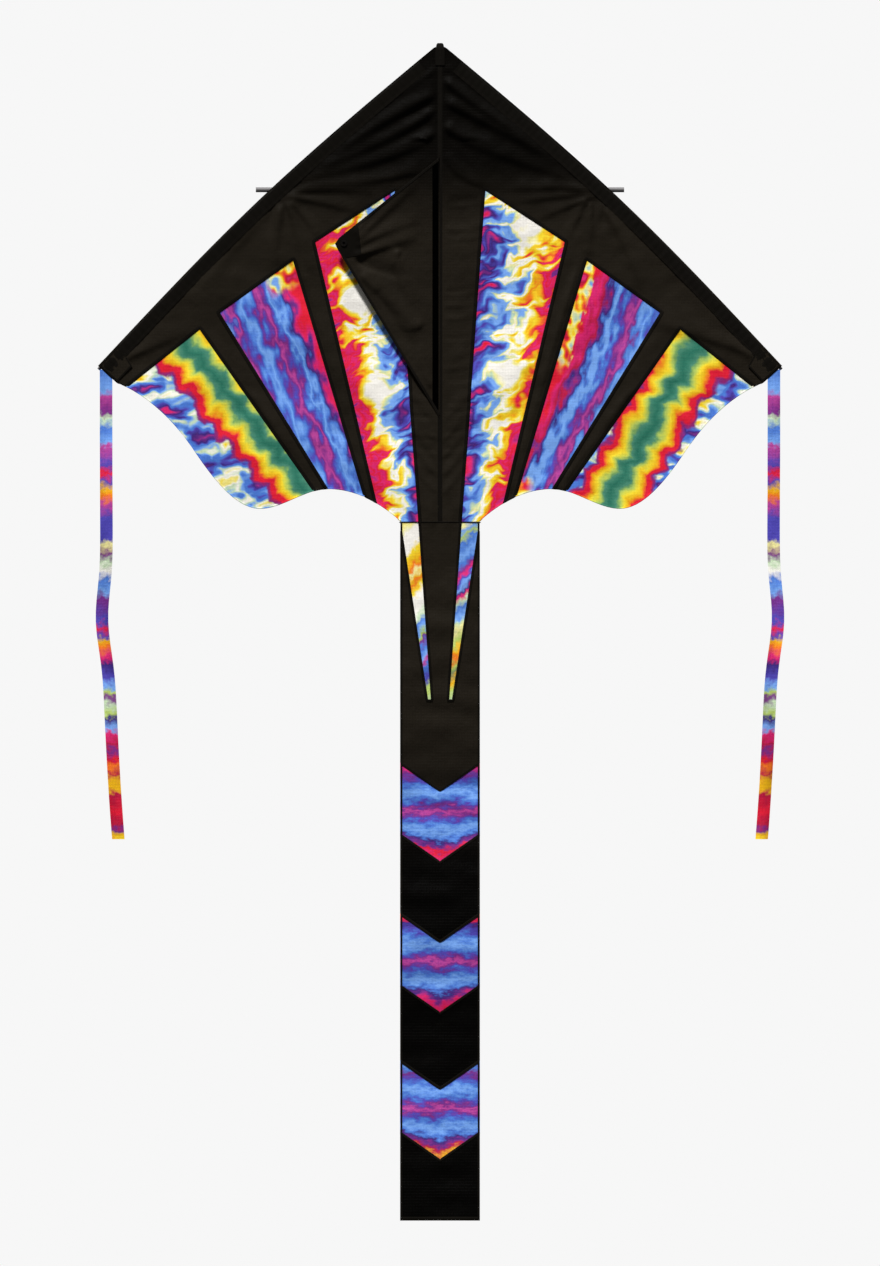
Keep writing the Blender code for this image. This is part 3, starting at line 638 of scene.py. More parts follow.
# ---------------------------------------------------------------- materials: arithmetic on node sockets
class Value:
    """A node socket that takes part in arithmetic, so that a pattern reads as a formula."""

    def __init__(self, tree, socket):
        self.tree = tree
        self.socket = socket

    def math(self, operation, *others):
        node = self.tree.nodes.new("ShaderNodeMath")
        node.operation = operation
        for slot, other in zip(node.inputs, (self, *others)):
            join(self.tree, other, slot)
        return Value(self.tree, node.outputs[0])

    def __add__(self, other):
        return self.math("ADD", other)

    def __sub__(self, other):
        return self.math("SUBTRACT", other)

    def __mul__(self, other):
        return self.math("MULTIPLY", other)

    def __truediv__(self, other):
        return self.math("DIVIDE", other)

    def step(self, low, high):
        """0 at low, 1 at high, and smooth between them."""
        node = self.tree.nodes.new("ShaderNodeMapRange")
        node.interpolation_type = "SMOOTHSTEP"
        for slot, value in (("Value", self), ("From Min", low), ("From Max", high)):
            join(self.tree, value, node.inputs[slot])
        return Value(self.tree, node.outputs["Result"])

    def zigzag(self):
        """A triangle wave from -1 to 1 with a period of 1."""
        return self.math("PINGPONG", 0.5) * 4.0 - 1.0


def join(tree, value, slot):
    """Feeds a number, an sRGB colour or a socket into a node's input."""
    if isinstance(value, Value):
        tree.links.new(value.socket, slot)
    elif isinstance(value, bpy.types.NodeSocket):
        tree.links.new(value, slot)
    elif isinstance(value, tuple):
        slot.default_value = (*linear(value), 1.0)
    else:
        slot.default_value = value


def linear(colour):
    """An sRGB colour of 0 to 255 in linear light."""
    scaled = [channel / 255 for channel in colour]
    return [c / 12.92 if c <= 0.04045 else ((c + 0.055) / 1.055) ** 2.4 for c in scaled]


class Pattern:
    """One material's nodes. On cloth, out and down are the places on the flat cloth, in millimetres."""

    def __init__(self, name, source="cloth"):
        self.material = bpy.data.materials.new(name)
        self.material.use_nodes = True
        self.tree = self.material.node_tree
        self.shader = self.tree.nodes["Principled BSDF"]
        parts = self.tree.nodes.new("ShaderNodeSeparateXYZ")
        if source == "cloth":
            place = self.tree.nodes.new("ShaderNodeAttribute")
            place.attribute_name = "cloth"
            self.tree.links.new(place.outputs["Vector"], parts.inputs[0])
            scale = 1.0
        else:
            place = self.tree.nodes.new("ShaderNodeTexCoord")
            self.tree.links.new(place.outputs["Object"], parts.inputs[0])
            scale = 1000.0
        self.out, self.down, self.seed = [Value(self.tree, socket) * scale for socket in parts.outputs]

    def noise(self, x, y, z=0.0, detail=2.0, roughness=0.5):
        """Smooth noise, mostly 0.3 to 0.7, whose blotches are about 1 across in the units of x, y and z."""
        place = self.tree.nodes.new("ShaderNodeCombineXYZ")
        for slot, value in zip(place.inputs, (x, y, z)):
            join(self.tree, value, slot)
        node = self.tree.nodes.new("ShaderNodeTexNoise")
        node.inputs["Scale"].default_value = 1.0
        node.inputs["Detail"].default_value = detail
        node.inputs["Roughness"].default_value = roughness
        self.tree.links.new(place.outputs[0], node.inputs["Vector"])
        return Value(self.tree, node.outputs["Fac"])

    def blotches(self, size, seed=0.0, detail=2.0, roughness=0.5):
        """Noise on the flat cloth with round blotches of a size in millimetres."""
        return self.noise(self.out / size, self.down / size, seed, detail, roughness)

    def grain(self, size, detail=2.0, roughness=0.5):
        """Noise through a solid part, with a size in millimetres."""
        return self.blotches(size, self.seed / size, detail, roughness)

    def ramp(self, value, stops):
        """A colour for each value between the first and last stop: stops are (value, sRGB colour)."""
        node = self.tree.nodes.new("ShaderNodeValToRGB")
        elements = node.color_ramp.elements
        while len(elements) > 1:
            elements.remove(elements[-1])
        first, last = stops[0][0], stops[-1][0]
        for number, (place, colour) in enumerate(stops):
            share = (place - first) / (last - first)
            element = elements[0] if number == 0 else elements.new(share)
            element.position = share
            element.color = (*linear(colour), 1.0)
        join(self.tree, (value - first) / (last - first), node.inputs[0])
        return node.outputs[0]

    def mix(self, share, a, b, blend="MIX"):
        node = self.tree.nodes.new("ShaderNodeMix")
        node.data_type = "RGBA"
        node.blend_type = blend
        for slot, value in ((node.inputs[0], share), (node.inputs[6], a), (node.inputs[7], b)):
            join(self.tree, value, slot)
        return node.outputs[2]

    def grey(self, value):
        node = self.tree.nodes.new("ShaderNodeCombineColor")
        for slot in node.inputs[:3]:
            join(self.tree, value, slot)
        return node.outputs[0]

    def use(self, colour, roughness, bump, bump_depth=0.0002, specular=0.3):
        join(self.tree, colour, self.shader.inputs["Base Color"])
        join(self.tree, roughness, self.shader.inputs["Roughness"])
        node = self.tree.nodes.new("ShaderNodeBump")
        node.inputs["Distance"].default_value = bump_depth
        join(self.tree, bump, node.inputs["Height"])
        join(self.tree, node.outputs[0], self.shader.inputs["Normal"])
        self.shader.inputs["Specular IOR Level"].default_value = specular
        return self.material


# The dyes.
WHITE = (236, 232, 224)
CREAM = (232, 224, 150)
YELLOW = (236, 208, 40)
GOLD = (226, 170, 6)
ORANGE = (228, 112, 18)
RED = (212, 10, 44)
CRIMSON = (172, 6, 56)
MAGENTA = (206, 26, 104)
PINK = (176, 60, 142)
PURPLE = (112, 34, 124)
NAVY = (52, 26, 112)
VIOLET = (70, 62, 166)
BLUE = (66, 112, 198)
SKY = (112, 158, 226)
LEAF = (170, 192, 92)
PALE = (186, 208, 172)
TEAL = (68, 130, 106)
DEEP_TEAL = (32, 106, 86)
BLACK_CLOTH = (29, 25, 19)
BLACK_TAPE = (9, 7, 4)


def spaced(start, step, *colours):
    """Colour stops at even spacing."""
    return [(start + step * number, colour) for number, colour in enumerate(colours)]


def sailcloth_finish(pattern, colour, roughness=0.5, specular=0.25):
    """Ripstop nylon: a fine weave with a grid of thicker threads, slightly uneven dye and soft crumples."""
    grid = [(place / 5.0).math("PINGPONG", 0.5).step(0.43, 0.49) for place in (pattern.out, pattern.down)]
    threads = grid[0].math("MAXIMUM", grid[1])
    weave = (pattern.out * 9.0).math("SINE") * (pattern.down * 9.0).math("SINE")
    crumple = pattern.blotches(26.0, pattern.seed + 40.0, detail=3.0)
    blotch = pattern.blotches(45.0, pattern.seed + 4.0, detail=3.0)
    shade = threads * -0.07 + (blotch - 0.5) * 0.22 + 1.0
    shaded = pattern.mix(1.0, colour, pattern.grey(shade), "MULTIPLY")
    bump = threads * 0.12 + weave * 0.03 + crumple * 1.6
    return pattern.use(shaded, blotch * 0.2 + (roughness - 0.1), bump, 0.001, specular)


def black_sailcloth():
    """The black cloth, with painted shade that darkens its colour towards the nose and towards the tail's
    foot.
    """
    pattern = Pattern("black_sailcloth")
    # Painted shade: the colour is multiplied down to 0.16 at the nose and to 0.06 at the tail's foot.
    nose = pattern.down.step(190.0, 330.0) * 0.84 + 0.16
    foot = pattern.down.step(1420.0, 1150.0) * 0.94 + 0.06
    colour = pattern.mix(1.0, BLACK_CLOTH, pattern.grey(nose * foot), "MULTIPLY")
    return sailcloth_finish(pattern, colour, 0.5, 0.03)


def black_tape(name="black_tape", tape=BLACK_TAPE, thread=(24, 20, 15), worn=(13, 10, 7), specular=0.05):
    """Woven tape with two rows of lockstitch near its middle."""
    pattern = Pattern(name)
    ribs = (pattern.out * 5.2).math("SINE") * 0.5 + 0.5
    in_row = (pattern.down.math("ABSOLUTE") - 1.2).math("ABSOLUTE").step(0.4, 0.2)
    stitch = in_row * (pattern.out / 3.2).math("PINGPONG", 0.5).step(0.10, 0.16)
    wear = pattern.blotches(11.0, 2.0)
    dark = pattern.mix(stitch, tape, thread)
    shaded = pattern.mix(wear.step(0.45, 0.9), dark, worn)
    return pattern.use(shaded, 0.62, ribs * 0.4 + stitch * 1.5, 0.00025, specular)


def rib_frame(pattern, corner, run):
    """Places along a rib from its top corner, and across it towards the wingtip."""
    length = math.hypot(*run)
    ahead = (run[0] / length, run[1] / length)
    dx, dy = pattern.out - corner[0], pattern.down - corner[1]
    return dx * ahead[0] + dy * ahead[1], dx * ahead[1] - dy * ahead[0]


def tie_dye_outer(side, name):
    """Stepped bands along the outer rib: green, yellow and red, then blotches of blue beyond them."""
    pattern = Pattern(name)
    seed = pattern.seed + 10.0 * side
    along, across = rib_frame(pattern, (411.0, 489.0), (-195.0, 273.0))
    near, far = (39.0, 72.0) if side > 0 else (33.0, 8.0)
    core = along * ((far - near) / 335.0) + near
    jag = pattern.blotches(15.0, seed, detail=3.0, roughness=0.55)
    slow = pattern.blotches(60.0, seed + 3.0)
    wobble = (along / 50.0 + slow * 1.5).zigzag() * 7.0 + (jag - 0.5) * 15.0 + (slow - 0.5) * 24.0
    widen = along.step(110.0, 0.0) * (0.28 if side > 0 else 0.08) + 1.0
    spread = (across - core + wobble).math("ABSOLUTE") / widen
    stops = [
        (0, DEEP_TEAL), (6, (46, 116, 94)), (12, TEAL), (15, (112, 156, 90)), (19, LEAF),
        (23, (204, 204, 70)), (28, YELLOW), (35, GOLD), (40, ORANGE), (43, RED), (50, RED),
        (54, (140, 24, 96)), (59, PURPLE), (64, VIOLET), (70, BLUE),
    ]
    bands = pattern.ramp(spread, stops)
    warp = pattern.blotches(40.0, seed + 5.0) * 1.4
    blot = pattern.noise(pattern.out / 46.0 + warp, pattern.down / 24.0 + warp, seed + 6.0, detail=1.5)
    colours = (MAGENTA, PURPLE, NAVY, VIOLET, BLUE, BLUE, SKY, PALE, WHITE, CREAM, YELLOW, GOLD)
    swirls = spaced(0.27, 0.040, *colours)
    beyond = spread.step(56.0, 62.0)
    return sailcloth_finish(pattern, pattern.mix(beyond, bands, pattern.ramp(blot, swirls)), 0.55)


def tie_dye_middle(side, name):
    """Long streaks of blue and violet down the panel, with hot colours at its inner edge."""
    pattern = Pattern(name)
    seed = pattern.seed + 20.0 * side
    along, across = rib_frame(pattern, (251.0, 371.0), (-121.0, 401.0))
    jag = pattern.noise(across / 9.0, along / 26.0, seed, detail=3.0, roughness=0.6)
    slow = pattern.noise(across / 30.0, along / 60.0, seed + 5.0)
    fleck = pattern.noise(across / 16.0, along / 44.0, seed + 11.0, detail=1.0)
    wobble = (along / 58.0 + slow * 2.0).zigzag() * 3.5 + (jag - 0.5) * 22.0 + (slow - 0.5) * 26.0
    wobble = wobble + (fleck - 0.5) * 46.0
    if side > 0:
        place = across + (along - 140.0).math("MAXIMUM", 0.0) * 0.2 + wobble
        stops = [
            (0, RED), (20, RED), (32, MAGENTA), (44, CRIMSON), (50, PURPLE), (56, NAVY), (61, BLUE),
            (67, SKY), (76, SKY), (82, BLUE), (87, VIOLET), (93, PURPLE), (101, PINK), (107, PURPLE),
            (113, BLUE), (123, SKY), (133, BLUE), (141, VIOLET), (150, MAGENTA),
        ]
        patch_across, patch_along = 24.0, (200.0, 160.0)
    else:
        place = across + along * 0.11 + wobble
        stops = [
            (0, RED), (18, RED), (30, MAGENTA), (36, PURPLE), (41, NAVY), (48, BLUE), (56, SKY), (62, BLUE),
            (68, VIOLET), (73, PURPLE), (80, PINK), (86, PURPLE), (91, VIOLET), (98, BLUE), (108, SKY),
            (118, BLUE), (124, VIOLET), (130, PURPLE), (137, PINK), (143, VIOLET), (155, SKY),
        ]
        patch_across, patch_along = 62.0, (52.0, 26.0)
    streaks = pattern.ramp(place, stops)
    spot = pattern.noise(pattern.out / 22.0, pattern.down / 30.0, seed + 8.0, detail=1.0)
    patch = pattern.ramp(spot, spaced(0.32, 0.05, SKY, PALE, CREAM, YELLOW, ORANGE, RED, CRIMSON, MAGENTA))
    inner = (across + (jag - 0.5) * 30.0).step(patch_across, patch_across * 0.7)
    upper = (along + (slow - 0.5) * 50.0).step(*patch_along)
    at_foot = 1.0 if side > 0 else 0.0
    lower = (along + (jag - 0.5) * 60.0).step(375.0, 400.0) * across.step(30.0, 10.0) * at_foot
    hot = (inner * upper).math("MAXIMUM", lower)
    return sailcloth_finish(pattern, pattern.mix(hot, streaks, patch), 0.55)


def tie_dye_inner(side, name):
    """Pale whirls down the panel's middle, between cool colours by the spine and hot ones by the rib."""
    pattern = Pattern(name)
    seed = pattern.seed + 30.0 * side
    inner_edge = (pattern.down - 251.0) * -0.0711 + 77.0
    outer_edge = (pattern.down - 340.0) * -0.2454 + 213.0
    width = (outer_edge - inner_edge).math("MAXIMUM", 34.0)
    centres = ((154.0, 313.0), (116.0, 566.0)) if side > 0 else ((140.0, 440.0), (107.0, 594.0))
    ring = None
    for x, down in centres:
        dx, dy = (pattern.out - x) * 0.85, pattern.down - down
        distance = (dx * dx + dy * dy).math("SQRT")
        ring = distance if ring is None else ring.math("MINIMUM", distance)
    slow = pattern.blotches(52.0, seed + 2.0)
    rise = pattern.down + pattern.out * (0.42 * side) + (slow - 0.5) * 90.0
    streak = pattern.noise(pattern.out / 60.0, rise / 19.0, seed, detail=2.0, roughness=0.4)
    arc = pattern.noise(ring / 13.0, pattern.out / 70.0, seed + 9.0, detail=1.0)
    blob = pattern.noise(pattern.out / 26.0, rise / 26.0, seed + 7.0, detail=1.0)
    middle = 0.52 if side > 0 else 0.47
    lean = (pattern.out - inner_edge) / width - middle
    far = ring.step(9.0, 46.0)
    near_arc = ring.step(70.0, 30.0)
    stir = (streak - 0.5) * 0.86 + (blob - 0.5) * 0.5 + (arc - 0.5) * 0.6 * near_arc
    hot_top = pattern.down.step(300.0, 262.0) * 0.42 if side > 0 else 0.0
    place = (lean * 0.68 + stir) * (far * 0.93 + 0.07) + hot_top + 0.5
    stops = [
        (0.0, RED), (0.07, MAGENTA), (0.13, PURPLE), (0.18, NAVY), (0.23, VIOLET), (0.28, BLUE),
        (0.34, SKY), (0.39, SKY), (0.43, PALE), (0.46, CREAM), (0.49, WHITE), (0.54, WHITE), (0.57, CREAM),
        (0.61, YELLOW), (0.67, GOLD), (0.71, ORANGE), (0.76, RED), (0.82, MAGENTA), (0.87, RED),
        (0.94, MAGENTA), (1.0, PURPLE),
    ]
    return sailcloth_finish(pattern, pattern.ramp(place, stops), 0.55)


def tie_dye_point(side, name):
    """The slivers that carry the inner panels' dye down into the tail."""
    pattern = Pattern(name)
    seed = 50.0 + side
    jag = pattern.noise(pattern.out / 12.0, pattern.down / 16.0, seed, detail=2.0)
    lean = pattern.out - (pattern.down - 800.0) * -0.1 - 52.0
    place = pattern.down + lean * (0.9 * side) + (jag - 0.5) * 44.0
    if side > 0:
        stops = [
            (800, PALE), (814, CREAM), (826, SKY), (840, LEAF), (852, BLUE), (872, SKY), (886, BLUE),
            (896, PURPLE), (906, MAGENTA), (916, VIOLET), (928, SKY), (938, NAVY), (944, MAGENTA),
            (954, PALE), (966, BLUE), (980, SKY), (990, PALE), (1004, CREAM), (1024, LEAF), (1040, GOLD),
            (1050, ORANGE), (1064, LEAF), (1080, (120, 130, 90)), (1094, GOLD), (1108, LEAF), (1130, PALE),
        ]
    else:
        stops = [
            (800, YELLOW), (820, CREAM), (832, WHITE), (856, WHITE), (868, YELLOW), (884, GOLD),
            (894, ORANGE), (904, CREAM), (914, GOLD), (922, ORANGE), (934, YELLOW), (944, WHITE),
            (966, WHITE), (978, PALE), (990, BLUE), (1004, SKY), (1016, LEAF), (1024, PURPLE), (1034, BLUE),
            (1046, SKY), (1056, PINK), (1066, BLUE), (1090, VIOLET), (1106, LEAF), (1130, PALE),
        ]
    return sailcloth_finish(pattern, pattern.ramp(place, stops), 0.55)


def tie_dye_chevron(number, name, top):
    """Level bands of blue, violet and pink that end in hot colours at the point."""
    pattern = Pattern(name)
    seed = 40.0 + 7.0 * number
    jag = pattern.noise(pattern.out / 17.0, pattern.down / 8.0, seed, detail=3.0, roughness=0.6)
    slow = pattern.noise(pattern.out / 40.0, pattern.down / 34.0, seed + 3.0)
    droop = (pattern.out.math("ABSOLUTE") / 67.0 - 0.5) * -0.16
    depth = (pattern.down - top) / 178.0
    share = depth - droop * depth.step(0.5, 0.9) + (jag - 0.5) * 0.20 + (slow - 0.5) * 0.16
    heads = ((PINK, MAGENTA, PURPLE), (ORANGE, RED, NAVY), (SKY, BLUE, PURPLE))
    feet = ((RED, MAGENTA, RED, ORANGE), (MAGENTA, RED, GOLD, YELLOW), (CRIMSON, GOLD, PALE, YELLOW))
    stops = spaced(0.0, 0.055, *heads[number - 1])
    stops += [
        (0.18, VIOLET), (0.23, BLUE), (0.29, SKY), (0.35, BLUE), (0.39, VIOLET), (0.43, PURPLE),
        (0.46, PINK), (0.50, PURPLE), (0.54, VIOLET), (0.58, BLUE), (0.64, SKY), (0.70, BLUE), (0.74, NAVY),
        (0.78, PURPLE),
    ]
    stops += spaced(0.82, 0.06, *feet[number - 1])
    return sailcloth_finish(pattern, pattern.ramp(share, stops), 0.55)


def tie_dye_ribbon(name):
    """Short blocks of every dye down the ribbon."""
    pattern = Pattern(name)
    jag = pattern.blotches(11.0, 60.0, detail=2.0)
    place = pattern.down + (jag - 0.5) * 34.0
    stops = [
        (560, BLUE), (592, SKY), (604, PINK), (630, PURPLE), (642, PALE), (660, BLUE), (684, SKY),
        (694, PINK), (720, VIOLET), (736, RED), (750, VIOLET), (764, GOLD), (778, ORANGE), (790, PINK),
        (812, VIOLET), (848, VIOLET), (858, CREAM), (874, PURPLE), (888, PALE), (904, WHITE), (918, BLUE),
        (936, SKY), (950, PURPLE), (988, VIOLET), (1002, RED), (1014, VIOLET), (1022, GOLD), (1034, ORANGE),
    ]
    upper = pattern.ramp(place, stops)
    stops = [
        (1034, ORANGE), (1050, MAGENTA), (1062, NAVY), (1086, VIOLET), (1100, SKY), (1110, LEAF),
        (1120, PURPLE), (1134, PALE), (1146, LEAF), (1156, NAVY), (1172, SKY), (1182, MAGENTA),
        (1200, CRIMSON), (1212, PURPLE), (1226, RED), (1240, ORANGE), (1250, CRIMSON), (1262, GOLD),
        (1274, GOLD), (1286, CRIMSON), (1316, RED), (1336, CRIMSON), (1346, PURPLE), (1354, GOLD),
        (1370, YELLOW),
    ]
    lower = pattern.ramp(place, stops)
    return sailcloth_finish(pattern, pattern.mix(place.step(1033.5, 1034.5), upper, lower), 0.55)


def fibreglass():
    """Black rod with fine fibres along it and a few scuffs."""
    pattern = Pattern("fibreglass_rod", "object")
    fibres = pattern.noise(pattern.out / 2.0, pattern.down / 0.3, pattern.seed / 2.0, detail=3.0)
    scuffs = pattern.grain(16.0, detail=4.0, roughness=0.7)
    colour = pattern.mix(scuffs.step(0.55, 0.8), (22, 22, 24), (58, 57, 56))
    return pattern.use(colour, scuffs * 0.3 + 0.2, fibres, 0.00008, 0.5)


def vinyl():
    """Dark grey vinyl tube with a moulded grain and a slight bloom."""
    pattern = Pattern("vinyl_fitting", "object")
    grain = pattern.grain(1.1)
    bloom = pattern.grain(14.0, detail=3.0)
    colour = pattern.mix(bloom, (62, 60, 62), (98, 96, 96))
    return pattern.use(colour, bloom * 0.2 + 0.38, grain, 0.00008, 0.4)


def dark_brass():
    """Blackened brass, rubbed bright in places."""
    pattern = Pattern("grommet_metal", "object")
    wear = pattern.grain(2.5, detail=4.0, roughness=0.7)
    pattern.shader.inputs["Metallic"].default_value = 1.0
    colour = pattern.mix(wear.step(0.58, 0.75), (40, 38, 36), (104, 90, 64))
    return pattern.use(colour, wear * 0.3 + 0.25, wear, 0.00003, 0.5)


def half_of(loop, side):
    """The part of a symmetric loop on one side of the middle."""
    kept = []
    for x, down in loop:
        point = (x if x * side > 0 else 0.0, down)
        if not kept or point != kept[-1]:
            kept.append(point)
    return kept


def on_trailing_edge(x, down):
    out = abs(x)
    near_foot = out < TAIL_HALF + 0.0015 and down > TAIL_TOP - 0.002
    return near_foot or (out > TAIL_HALF and np.interp(out, TRAILING_X, TRAILING_DOWN) - down < 0.0012)


def on_tail_seam(x, down):
    return down < TAIL_TOP + 0.0015


def seam_path(sheet, is_free):
    """The part of a net's outline that is sewn along, in order: all but its free stretch."""
    loop = max(borders(*sheet), key=len)
    free = [is_free(*point) for point in loop]
    first = next(i for i in range(len(loop)) if free[i] and not free[(i + 1) % len(loop)])
    turned = loop[first:] + loop[:first]
    flags = free[first:] + free[:first]
    last = next(i for i in range(1, len(turned)) if flags[i])
    return turned[: last + 1]


def root_bridge(word):
    """What joins the inner panel to its root across the fold line."""
    inner, root = cad_outline(f"tie_dye_inner_{word}"), cad_outline(f"tie_dye_root_{word}")
    apex = min(root, key=lambda p: p[1])
    corner = min(inner, key=lambda p: math.dist(p, apex))
    beside = [p for p in inner if p[1] < corner[1] - 0.001 and abs(p[0]) < abs(corner[0]) + 0.03]
    above = max(beside, key=lambda p: p[1])
    foot_in = max(root, key=lambda p: abs(p[0]))
    foot_out = max(inner, key=lambda p: p[1])
    return [above, apex, foot_in, foot_out, corner]


def hems(side, word, sheets, dyes):
    """The trailing edge's rolled hem, in the colour of each cloth that it closes."""
    stretches = []
    for part, sheet in sheets.items():
        free = [abs(x) for x, down in sheet[0] if on_trailing_edge(x, down) and abs(x) > TAIL_HALF]
        stretches.append((max(min(free), TRAILING_X[0]), max(free), part))
    stretches.sort()
    gaps = [(a[1], b[0], "") for a, b in zip(stretches, stretches[1:] + [(TRAILING_X[-1], 0, "")])]
    for number, (start, end, part) in enumerate(sorted(stretches + gaps)):
        xs = np.linspace(start, end, max(3, round((end - start) / 0.004)))
        path = sorted((side * x, float(np.interp(x, TRAILING_X, TRAILING_DOWN))) for x in xs)
        name = f"trailing_hem_{word}_{number + 1}"
        if part:
            hem = strip_piece(name, path, -0.0001, HEM_WIDTH, dyes[part], OVER, cloth_lift, dyed=side)
        else:
            hem = strip_piece(name, path, -0.0001, HEM_WIDTH, TAPE, OVER, cloth_lift)
        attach(hem, f"wing_{word}")


def sail(side, word):
    """One half of the sail: the black cloth, its three tie-dye panels and their seams."""
    loops = [grown(cad_outline(f"wing_panel_{word}"), LAP)]
    centre = half_of(cad_outline("centre_strip"), side)
    loops.append(half_of([tuple(p) for p in grown(centre, LAP)], side))
    panel = cloth_piece(f"sail_black_{word}", net(loops), BLACK, side=side, seed=side)
    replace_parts(panel, f"wing_panel_{word}", "centre_strip")
    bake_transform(panel)

    sheets, dyes = {}, {}
    for part, maker in (("inner", tie_dye_inner), ("middle", tie_dye_middle), ("outer", tie_dye_outer)):
        nodes = [f"tie_dye_{part}_{word}"]
        loops = []
        if part == "inner":
            nodes.append(f"tie_dye_root_{word}")
            loops.append(grown(root_bridge(word), DYE_LAP))
        sheet = sheets[part] = net(loops + [grown(cad_outline(node), DYE_LAP) for node in nodes])
        dye = dyes[part] = maker(side, f"tie_dye_{part}_{word}")
        piece = cloth_piece(f"dyed_{part}_{word}", sheet, dye, UNDER, side, seed=side)
        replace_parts(piece, *nodes)
        path = seam_path(sheet, on_trailing_edge)
        seam = strip_piece(f"seam_{part}_{word}", path, -0.0007, SEAM_WIDTH, TAPE, OVER, cloth_lift)
        for made in (piece, seam):
            if part == "inner":
                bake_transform(made)
            else:
                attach(made, f"wing_{word}")

    hems(side, word, sheets, dyes)


# ---------------------------------------------------------------- the leading edge
def leading_place(share):
    """(out, down) and the direction into the sail, at a share of the leading edge."""
    reach = 0.002

    def at(out):
        out = min(max(out, 0.0), TIP_X)
        return Vector((out, float(np.interp(out, LEADING_X, LEADING_DOWN))))

    out = share * TIP_X
    ahead = (at(out + reach) - at(out - reach)).normalized()
    return at(out), Vector((-ahead.y, ahead.x))


def leading_sleeve(side, word):
    """The sleeve over a leading edge rod: a band on the front that wraps round the rod to a seam behind."""
    boxes = [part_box(f"edge_pocket_{part}_{word}") for part in ("upper", "lower")]
    starts = [min(abs(box[0].x), abs(box[1].x)) for box in boxes]
    ends = [max(abs(box[0].x), abs(box[1].x)) for box in boxes]
    back = boxes[0][1].y + 0.0002
    foot = SAIL_BACK + 0.0009
    front = SAIL_FRONT - 0.0007
    middle = (front + back) / 2
    rod_back = back - EDGE_ROD_Y
    front_steps, turn_steps = 6, 9
    rows, pattern, cut_away = [], [], []
    for share in np.linspace((starts[0] + 0.022) / TIP_X, 0.995, 260):
        place, inward = leading_place(share)
        length = share * LEADING_LENGTH
        pucker = 0.00016 * math.sin(length * math.tau / 0.012) + 0.0001 * math.sin(length * math.tau / 0.027)
        profile = []
        for k in range(front_steps):
            t = 0.8 * k / (front_steps - 1)
            profile.append((SLEEVE_WIDTH * (1 - t), front - 0.0003 * math.sin(math.pi * t) - pucker))
        for k in range(turn_steps):
            turn = math.pi * (k / (turn_steps - 1) * 1.12 - 0.62)
            into = ROD_INSET - (rod_back + 0.0008) * math.cos(turn)
            profile.append((into, middle + (back - front) / 2 * math.sin(turn)))
        for t in (0.3, 0.55, 0.8, 1.0):
            into = ROD_INSET + (SLEEVE_WIDTH - ROD_INSET) * t
            profile.append((into, back + (foot - back) * min(1, t * 1.6)))
        row = []
        for into, y in profile:
            spot = place + inward * into
            row.append((side * spot.x, y, NOSE_Z - spot.y))
            pattern.append((length, into - SLEEVE_WIDTH + 0.0028, 0.0))
        rows.append(row)
        cut_away.append(ends[0] - 0.004 < place.x < starts[1] + 0.018)
    sleeve = band_piece(f"leading_sleeve_{word}", rows, TAPE, None, pattern)
    width = len(rows[0])
    with editing(sleeve) as mesh:
        mesh.verts.ensure_lookup_table()
        behind = range(front_steps + turn_steps // 2, width)
        hidden = [mesh.verts[i * width + k] for i, gone in enumerate(cut_away) if gone for k in behind]
        bmesh.ops.delete(mesh, geom=hidden, context="VERTS")
    thicken(sleeve, CLOTH)
    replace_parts(sleeve, f"edge_pocket_upper_{word}", f"edge_pocket_lower_{word}")
    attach(sleeve, f"wing_{word}")


# ---------------------------------------------------------------- spine, nose and wingtips
def spine_sleeve(part):
    """The sleeve over the spine rod, a hat section with a flange sewn down on each side."""
    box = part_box(f"spine_pocket_{part}")
    top, foot = NOSE_Z - box[1].z, NOSE_Z - box[0].z
    half = box[1].x
    low = SAIL_BACK + 0.0006
    radius = box[1].y - SPINE_Y
    count = round((foot - top) / 0.006)
    rows = []
    for i in range(count + 1):
        down = top + (foot - top) * i / count
        pucker = 0.00012 * math.sin(down * math.tau / 0.013)
        row = [(-half, low, NOSE_Z - down), (-half * 0.6, low + pucker, NOSE_Z - down)]
        for k in range(9):
            turn = math.pi * k / 8
            y = SPINE_Y + (radius + pucker) * math.sin(turn)
            row.append((-radius * math.cos(turn) * 1.1, y, NOSE_Z - down))
        row += [(half * 0.6, low + pucker, NOSE_Z - down), (half, low, NOSE_Z - down)]
        rows.append(row)
    sleeve = band_piece(f"spine_sleeve_{part}", rows, TAPE, CLOTH)
    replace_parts(sleeve, f"spine_pocket_{part}")
    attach(sleeve, "airframe")


def centre_seam(top, foot):
    """The folded seam that joins the two halves of the sail, over the spine."""
    path = [(0.0, top), (0.0, foot)]
    seam = strip_piece("centre_seam", path, -0.004, 0.004, TAPE, OVER * 0.3, cloth_lift, 0.0001)
    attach(seam, "airframe")


def nose_webbing():
    """Webbing folded over the nose, narrower at the fold, so that it follows the point of the sail."""
    low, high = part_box("nose_webbing")
    half = high.x
    thick = 0.0008
    front, back = low.y + thick / 2, high.y - thick / 2
    middle, radius = (front + back) / 2, (back - front) / 2
    top = high.z - thick / 2
    round_top = 0.0020
    side = [(front, low.z + 0.03 * i / 6) for i in range(6)]
    over = []
    for k in range(9):
        turn = math.pi * k / 8
        over.append((middle - radius * math.cos(turn), top - round_top + round_top * math.sin(turn)))
    path = side + over + [(back, z) for _, z in reversed(side)]
    rows = []
    for number, (y, z) in enumerate(path):
        reach = min(half, 0.0036 + (high.z - z) * 1.0)
        ripple = 0.0001 * math.sin(number * 2.1)
        rows.append([(reach * k / 4, y + ripple * (k % 2), z) for k in range(-4, 5)])
    webbing = band_piece("nose_webbing_fold", rows, TAPE, thick)
    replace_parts(webbing, "nose_webbing")
    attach(webbing, "airframe")


